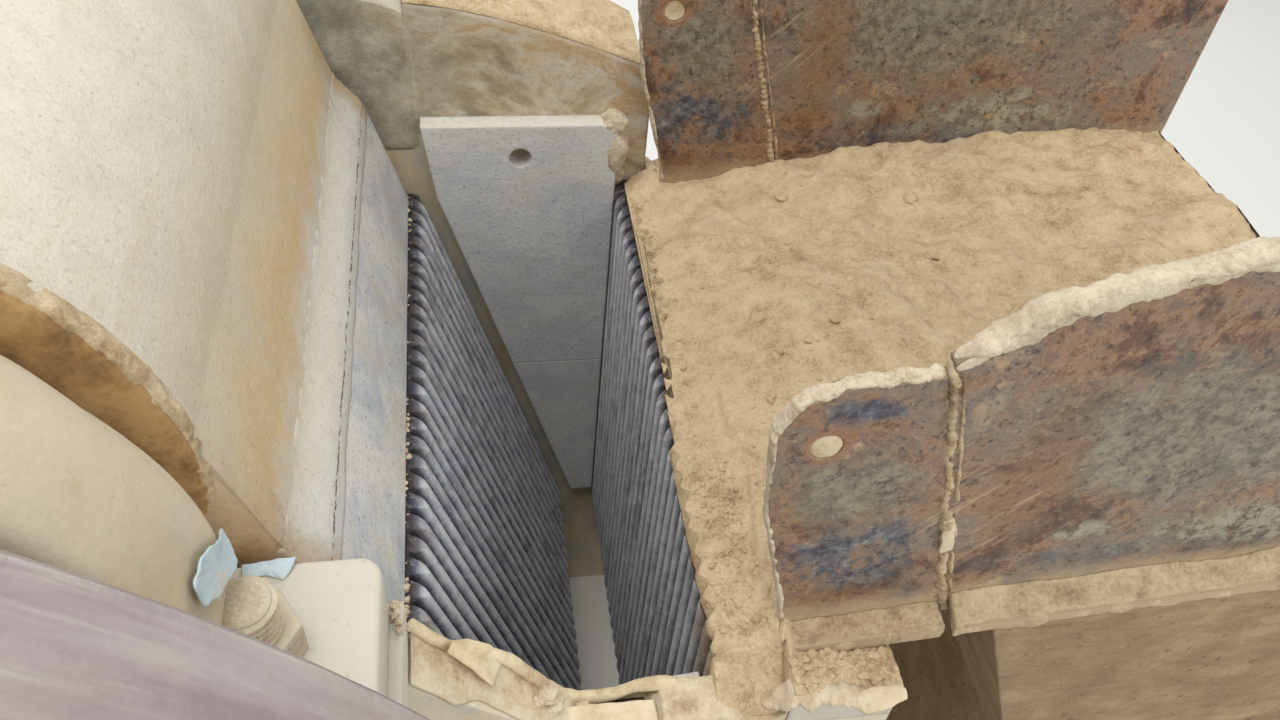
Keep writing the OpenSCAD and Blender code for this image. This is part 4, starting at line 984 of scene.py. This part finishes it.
def strip_skin():
    """Top falls from the rim's height to the wall's top as the square of the way across, with lumps."""
    u, v = grid(260, 36)
    x = -3 + (311 + 3) * u
    outer = -393 + 5 * lumps(at(x, 0, 0), 0.03, 61, 3)
    y = -351 + (outer + 351) * v
    low = wall_top(x) + 0.5
    rim = np.interp(x, RIM_X, RIM_Z) - 3
    caked = np.interp(x, [110, 125, 196, 203, 300, 311], [4, 9, 9, 25, 17, 30])
    rough = np.interp(x, [180, 205], [1.6, 4.2])
    top = low + caked + np.maximum(rim - low - caked, 0) * (1 - v) ** 2 + rough * lumps(at(x, y, 0), 0.03, 81, 4)
    hollow = np.interp(x, [140, 148, 192, 197], [0, 1, 1, 0]) * np.exp(-((v - 0.22) / 0.19) ** 6)
    top = top * (1 - hollow) + (low + 1) * hollow
    return heap(x, y, np.maximum(top, low + 1), low)


rim = bar(rim_path, 0.012, 0.0095, 17, 0.22, 0.03, 16, 0.01, (0, 1, 0.2))
piece("torn_wall_rim", "frame", smooth_cake, [rim])
piece("torn_wall_skin", "frame", crust_finish, [strip_skin()])

# %% Tongues of plate
tongue = torn([(24, -364, 80), (29, -355, 82), (41, -349, 72), (57, -349, 58), (69, -353, 42), (63, -364, 41),
               (58, -379, 46), (44, -372, 62)], depth=0.0006, seed=5)
flat = torn([(119, -367, -27), (151, -366, -29), (197, -368, -27), (198, -396, -32), (160, -398, -36),
             (121, -396, -34)], depth=0.0006, seed=9)
tip = torn([(352, -402, 8), (378, -397, 14), (397, -398, 17), (405, -403, 18), (405, -411, 16), (390, -416, 13),
            (368, -418, 9)], depth=0.0008, seed=14)
piece("torn_tongues", "frame", smooth_cake,
      [fan(tongue, 2.2, 3, 2, 1.2), fan(flat, 3.0, 4, 0.8, 0.6), fan(tip, 2.6, 6, 1.5, 1.0)])
tail = along([(284, -376, -26), (300, -381, -15), (314, -388, 1), (335, -394, 7), (362, -402, 10),
              (384, -406, 13)], 200)
tail = swayed(tail, 0.0015, (0.03, 5), (0.025, 9)) - np.array([0, 0, 2 * MM])
piece("torn_tail", "frame", crust_finish, [bar(tail, 0.022, 0.0095, 18, 0.5, 0.011, 16, ends=0.10)])
lump_places = [(101, -363, -7, 19), (109, -370, -17, 17), (95, -371, -2, 12), (113, -361, -22, 13),
               (104, -377, -16, 11), (119, -357, -33, 8), (-11, -354, 138, 8), (-10, -360, 138, 6),
               (-9, -368, 137, 7), (-8, -376, 137, 5), (-12, -365, 142, 6), (-7, -353, 130, 7), (-3, -358, 112, 7)]
piece("torn_lumps", "frame", white_crust, [rubble(lump_places, 3, 0.75)], smooth=False)
# Painted shade: a thin near-black sheet in the hollow under the raised stretch darkens it as its depth would.
x, y = grid(40, 20, (144, 195), (-353, -366))
piece("torn_hollow_painted_shade", "frame", hollow_painted_shade,
      [heap(x, y, -45.8 + 0.8 * lumps(at(x, y, 0), 0.01, 3, 2), -47.6)])

# %% [markdown]
# ## Caked dust round the far guard
# On the far side the guard still stands. Dust has set against it in one smooth mass over the housing's foot,
# and a thick layer lies along the guard's flange. Two clods cling to the cheek plate's corner.

# %% Far guard dust
def guard_top(x):
    """The guard's top edge: from 172 mm at its front end up to 252 mm, as 1 less the 1.5th power."""
    t = np.clip((278 - x) / (278 + 5), 0, 1)
    return 172 + 80 * (1 - (1 - t) ** 1.5)


def flange_dust():
    u, v = grid(160, 50)
    x, y = -4 + (277 + 4) * u, 351.5 + (487 - 351.5) * v
    low = guard_top(x) + 0.4
    rim = np.minimum(np.minimum(v, 1 - v) * 9, 1) ** 0.5
    top = low + 1 + (9 + 4 * lumps(at(x, y, 0), 0.06, 5, 3) + 2 * lumps(at(x, y, 0), 0.012, 8, 3)) * rim
    return heap(x, y, np.maximum(top, low + 0.8), low)


def foot_cake():
    """A saddle over the foot's end: high against the round housing, down to the guard's top, steep outwards."""
    u, v = grid(130, 110)
    x, y = -158 + (154 - 1) * u, 350.6 + (485 - 350.6) * v
    level = np.interp(x, [-158, -125, -95, -55, -5], [330, 305, 288, 276, 258])
    fall = 1 - 0.55 * np.clip((v - 0.75) / 0.25, 0, 1) ** 2
    top = 200 + (level - 200) * fall + 5 * lumps(at(x, y, 0), 0.09, 3, 3) + 1.5 * lumps(at(x, y, 0), 0.02, 6, 3)
    low = np.where(x < -15.2, 200.4, 135.4)
    return heap(x, y, top, low)


def corner_skin():
    """A path (y, z) up the wall's inner side, over a round rim and outwards over the foot, carried along X."""
    u, s = grid(120, 90)
    x = -150 + 153 * u
    level = np.interp(x, [-150, -125, -95, -55, -5, 3], [326, 304, 286, 272, 256, 251])
    steps = [0, 0.02, 0.5, 0.58, 0.65, 0.72, 0.85, 1]
    y = np.interp(s, steps, [350.2, 348.9, 348.9, 350.3, 356, 368, 402, 440])
    up = 62 + (level * 0.86 - 62) * np.clip((s - 0.02) / 0.48, 0, 1) - 4 * (s < 0.02)
    over = level * np.interp(s, [0.5, 0.6, 0.66, 0.72, 1], [0.86, 0.965, 0.99, 1, 1])
    z = np.where(s < 0.5, up, over)
    y = y + np.where(s < 0.6, 1.1, 0) * np.clip((x + 12) / 14, 0, 1)
    rough = 2.2 * lumps(at(x, y, z), 0.05, 5, 4) * np.clip((s - 0.5) / 0.1, 0, 1)
    low_y = np.where(s < 0.6, 366, y + 6) + 0.1
    low_z = np.where(s < 0.6, z - 0.2, np.minimum(z - 14, 205))
    return skin(at(x, y, z + rough), at(x, low_y, low_z))


piece("guard_flange_dust", "frame", dust_finish, [flange_dust()])
piece("far_corner_skin", "frame", guard_casting, [corner_skin()])
piece("far_foot_cake", "frame", guard_casting, [foot_cake()])


def blob(x, y, z, size, seed, squash=1.0):
    """Ball of 24 by 32 faces: radius = size / 2 times 1 plus noise over the sphere."""
    way = ball(25, 32)
    r = size / 2 * (1 + 0.28 * lumps(way, 0.9, seed, 4))[..., None]
    return at(x, y, z) + way * r * np.array([1, 1, squash]) * MM, quads(25, 32, wrap_v=True)


piece("cheek_dust", "frame", white_crust,
      [blob(243, 338, 103, 30, 3, 0.9), blob(247, 342, 64, 40, 5, 1.5), blob(254, 346, 22, 24, 8)])

# %% [markdown]
# ## Edges of the chute plates
# Flame-cut edges caked with dust show as a pale, uneven bead round each plate. The bead follows the plate's own
# outline, a little thicker than the plate. On the taller plate it is broad and hangs over the side. The weld
# between the two plates is a fatter bead with ripples, and dust fills the corner over each foot.

# %% Plate edges and weld
WING = [(315, 6), (306, 57), (274, 177), (262, 274), (274, 304), (306, 322), (377, 328)]
TALL = [(378, 341), (434, 382), (475, 400), (620, 440), (997, 460)]
PLATE_Y = 324


def chute_floor(x):
    """Upper side of the chute's floor: it rises 62 mm over its length."""
    return 12 + (x - 316) / 684 * 62


def foot_dust(side, x0, x1, rise, fall, seed):
    """Fillet in the corner between a plate and its foot lip: height falls with the square root outwards."""
    u, v = grid(int((x1 - x0) / 1.6), 26)
    x, y = x0 + (x1 - x0) * u, 330.3 + 26.4 * v
    low = chute_floor(x) + 2.5
    p = at(x, side * y, 0)
    rough = 1.5 * lumps(p, 0.022, seed, 4) + 0.9 * lumps(p, 0.007, seed + 4, 2)
    top = low + rise * (1 - v ** 0.7) * (1 + 0.3 * lumps(at(x, 0, 0), 0.05, seed + 7, 3)) + 1.2 + rough
    drop = np.clip((v - 0.90) / 0.10, 0, 1) ** 2 * (fall + 6 * lumps(at(x, 0, 0), 0.016, seed + 8, 4))
    y = y + 1.6 * lumps(at(x, 0, 9), 0.02, seed + 3, 3) * v
    return heap(x, side * y, np.maximum(top, low + 0.8) - drop, low - 0.95 * drop - 0.5 * v)


for side, word in SIDES:
    y = side * PLATE_Y
    lead = bar(along([(x, y, z) for x, z in WING[:5]], 320), 0.0135, 0.005, 5, 0.4, 0.011)
    top = bar(along([(x, y, z) for x, z in WING[3:]], 240), 0.0138, 0.0052, 6, 0.4, 0.010)
    tall = bar(along([(x, y - side * 1, z) for x, z in TALL], 420), 0.021, 0.010, 8, 0.4, 0.014)
    hang = bar(along([(x, y + side * 6.6, z - 4) for x, z in TALL], 420), 0.0035, 0.014, 18, 0.8, 0.015)
    piece(word + "_plate_edges", "frame", white_crust, [lead, top, tall, hang])
    seam = along([(463.5, y, 16), (377.5, y, 338)], 300)
    bent = seam + 1.6 * lumps(seam, 0.03, 4, 3)[:, None] * MM * np.array([1, 0, 0])
    weld, faces = bar(bent, 0.0165, 0.009, 13, 0.5, 0.009)
    ripple = 1 + 0.07 * np.sin(np.linspace(0, 2 * np.pi * 44, 300) + 3 * lumps(seam, 0.03, 2, 2))
    weld = seam[:, None] + (weld - seam[:, None]) * ripple[:, None, None]
    lap = bar(bent + np.array([0.008, 0, 0]), 0.0145, 0.004, 23, 0.6, 0.012)
    piece(word + "_seam_weld", "frame", lip_finish, [(weld, faces), lap])
    tab = torn([(x, side * 331.5, z) for x, z in ((421, 164), (431, 162), (443, 118), (433, 114))], 48, depth=0.0012)
    piece(word + "_seam_tab", "frame", smooth_cake, [fan(tab, -3.0, 4, 1, 0.5)])
    piece(word + "_foot_dust", "frame", lip_finish,
          [foot_dust(side, 313, 456, 3, 9, 33), foot_dust(side, 466, 998, 13, 15, 43)])

# %% [markdown]
# ## Dust in the holes
# The hole in each wing plate is packed with pale dust. A low dome with a noisy rim sits inside it.

# %% Hole
HOLE_X, HOLE_Z, HOLE_R, HOLE_Y = 303, 261, 12.8, 329


def plug(side, seed):
    """Dome 1.8 mm high: height falls with the square of the distance from the middle; the rim's radius is noisy."""
    r, a = np.linspace(0, 1, 12)[:, None], circle(48)[None]
    wobble = 1 + 0.06 * lumps(np.stack([np.cos(a), np.sin(a), 0 * a], -1), 0.6, seed, 3)
    x, z = HOLE_X + r * HOLE_R * wobble * np.cos(a), HOLE_Z + r * HOLE_R * wobble * np.sin(a)
    bulge = 1.8 * (1 - r ** 2) + 0.4 * lumps(at(x, 0, z), 0.006, seed + 1, 3)
    front, back = at(x, side * (HOLE_Y + bulge), z), at(x, side * (HOLE_Y - 9), z)
    return shell(front, back, quads(12, 48, wrap_v=True), 11 * 48 + np.r_[0:48, 0])


piece("hole_dust", "frame", smooth_cake, [plug(-1, 3), plug(1, 4)])

# %% [markdown]
# ## Studs
# The studs that hold the bearing housings end in a thread, rounded off by dust. A thread is a cylinder whose
# radius rises and falls once per turn along its length, so one grid of angle and height makes it.

# %% Stud threads
def thread(x, y, low=FOOT_TOP + 25, high=FOOT_TOP + 62, radius=21, pitch=6):
    """Radius = outer radius less a share of the pitch, by a wave of height / pitch + angle / full turn."""
    a, z = circle(48)[None], low + (high - low) * np.linspace(0, 1, 120)[:, None]
    wave = 0.5 + 0.5 * np.cos(2 * np.pi * ((z - low) / pitch - a / (2 * np.pi)))
    r = radius - 0.42 * pitch * wave * np.clip((high - z) / 6, 0.1, 1)
    r = r * np.clip((high + 0.01 - z) / 4, 0, 1) ** 0.35
    r = r + 0.6 * lumps(at(x + r * np.cos(a), y + r * np.sin(a), z), 0.012, 3, 3) * (r > 1)
    points = at(x + r * np.cos(a), y + r * np.sin(a), z)
    points[0], points[-1] = at(x, y, low), at(x, y, high)
    return points, quads(120, 48, wrap_v=True)


piece("stud_threads", "frame", white_crust,
      [thread(SHAFT_X + end * 269, side * STUD_Y) for side in (-1, 1) for end in (-1, 1)])

# %% [markdown]
# ## Flakes of paint
# Round the near stud the dust has come away with flakes of the old pale blue paint. Each is a thin sheet with
# an angular torn outline. One lies on the housing's foot, the other leans against the round housing.

# %% Paint flakes
def paint_finish():
    f = Finish("pale blue paint", 0.55)
    colour = f.mix(f.span(f.noise(0.02, 6, 0.7), 0.35, 0.7), PALE_BLUE, (200, 214, 216))
    colour = f.coats(colour, (0.6, CREAM, f.noise(0.03, 8, 0.7), 0.52, 0.64))
    return f.done(colour, None, f.bump(f.noise(0.01, 6), 0.001))


lying = torn([(-109, -353, 203), (-108, -362, 202), (-92, -361, 202), (-80, -366, 202), (-72, -352, 206),
              (-90, -351, 203)], 60, depth=0.001, seed=3)
leaning = torn([(-101, -381, 284), (-94, -414, 316), (-96, -434, 333), (-96, -453, 334), (-94, -457, 319),
                (-92, -440, 300), (-91, -420, 290), (-93, -396, 270)], 72, depth=0.001, seed=8)
scrap = torn([(-106, -364, 202), (-101, -361, 202), (-97, -367, 202), (-103, -370, 202)], 36, depth=0.001, seed=6)
piece("paint_flakes", "frame", paint_finish(),
      [fan(lying, 1.6, 3, 1.5, 0.5), fan(leaning, 1.6, 5, 1, 0.8), fan(scrap, 1.2, 7, 0.8, 0.3)])

# %% [markdown]
# ## Bolt heads
# The end covers are held by small hexagon heads. A head is a profile turned in six steps: a washer face, the
# flats and a chamfered top. One mesh holds them all.

# %% Bolt heads
def head(centre, side, turn, across=24, height=12):
    """Six-sided profile of rings (share of the radius, of the height) outwards: washer, flats, chamfer, top."""
    rings = [(0, 0), (1.0, 0), (1.0, 0.85), (0.9, 1.0), (0, 1.0)]
    a = np.arange(6) * np.pi / 3 + turn
    corners = np.stack([np.cos(a), 0 * a, -side * np.sin(a)], -1) * across / 2 / np.cos(np.pi / 6)
    points = np.stack([centre + corners * k * MM + np.array([0, side * h * height * MM, 0]) for k, h in rings])
    return points, quads(len(rings), 6, wrap_v=True)


COVER_FACE, BOLT_CIRCLE_R = WALL_Y + 138 + 16, 136
heads = []
for side in (-1, 1):
    for a in (np.arange(8) + 0.5) * np.pi / 4:
        x, z = SHAFT_X + BOLT_CIRCLE_R * np.cos(a), SHAFT_Z + BOLT_CIRCLE_R * np.sin(a)
        heads.append(head(at(x, side * (COVER_FACE - 0.2), z), side, a))
piece("cover_bolts", "frame", casting, heads, smooth=False)

# %% [markdown]
# ## Floor, light and camera
# The floor is plain and pale. A wide soft lamp from the upper left stands for the bright sky, a second one fills
# the shadows, and the world adds an even glow. The camera stands where the photographer's did: over the near
# flywheel, looking down into the mouth, with no shift.

# %% Floor and light
floor_mesh = bpy.data.meshes.new("floor")
floor_mesh.from_pydata([(-9, -9, 0), (9, -9, 0), (9, 9, 0), (-9, 9, 0)], [], [(0, 1, 2, 3)])
floor_mesh.materials.append(Finish("pale floor", 0.9).done((226, 224, 218)))
shown(bpy.data.objects.new("floor", floor_mesh))


def placed(name, data, right, back, place):
    """A lamp or camera at a place that looks against `back`, with `right` to its right and both of length 1."""
    obj = shown(bpy.data.objects.new(name, data))
    pose = np.eye(4)
    pose[:3] = np.stack([right, np.cross(back, right), back, place], -1)
    obj.matrix_world = Matrix(pose.tolist())
    return obj


def lamp(name, place, aim, power):
    """Disk lamp 3 m across, turned to its aim."""
    light = bpy.data.lights.new(name, "AREA")
    light.shape, light.size, light.energy = "DISK", 3.0, power
    back = unit(np.subtract(place, aim))
    placed(name, light, unit(np.cross((0, 1.0, 0.01), back)), back, place)


lamp("key", (-0.9, -0.5, 4.8), (0, 0, 0.9), 112)
lamp("fill", (2.6, -3.4, 2.8), (0, 0, 0.8), 75)
lamp("back", (1.4, 3.6, 3.0), (0, 0, 0.8), 60)
world = bpy.data.worlds.new("sky")
bpy.context.scene.world = world
world.use_nodes = True
world.node_tree.nodes["Background"].inputs[0].default_value = (0.93, 0.965, 1.0, 1)
world.node_tree.nodes["Background"].inputs[1].default_value = 0.58
bpy.context.scene.view_settings.view_transform = "Standard"

# %% Camera
camera_data = bpy.data.cameras.new("camera")
camera_data.lens, camera_data.sensor_width = 29.5, 36
camera_data.clip_start = 0.02
right = unit(np.array([0.986, -0.146, 0.080]))
forward = np.array([0.159, 0.686, -0.710])
forward = unit(forward - right * (forward @ right))
camera = placed("camera", camera_data, right, -forward, (-0.0305, -0.784, 1.781))
bpy.context.scene.camera = camera
print("camera at", camera.location[:])
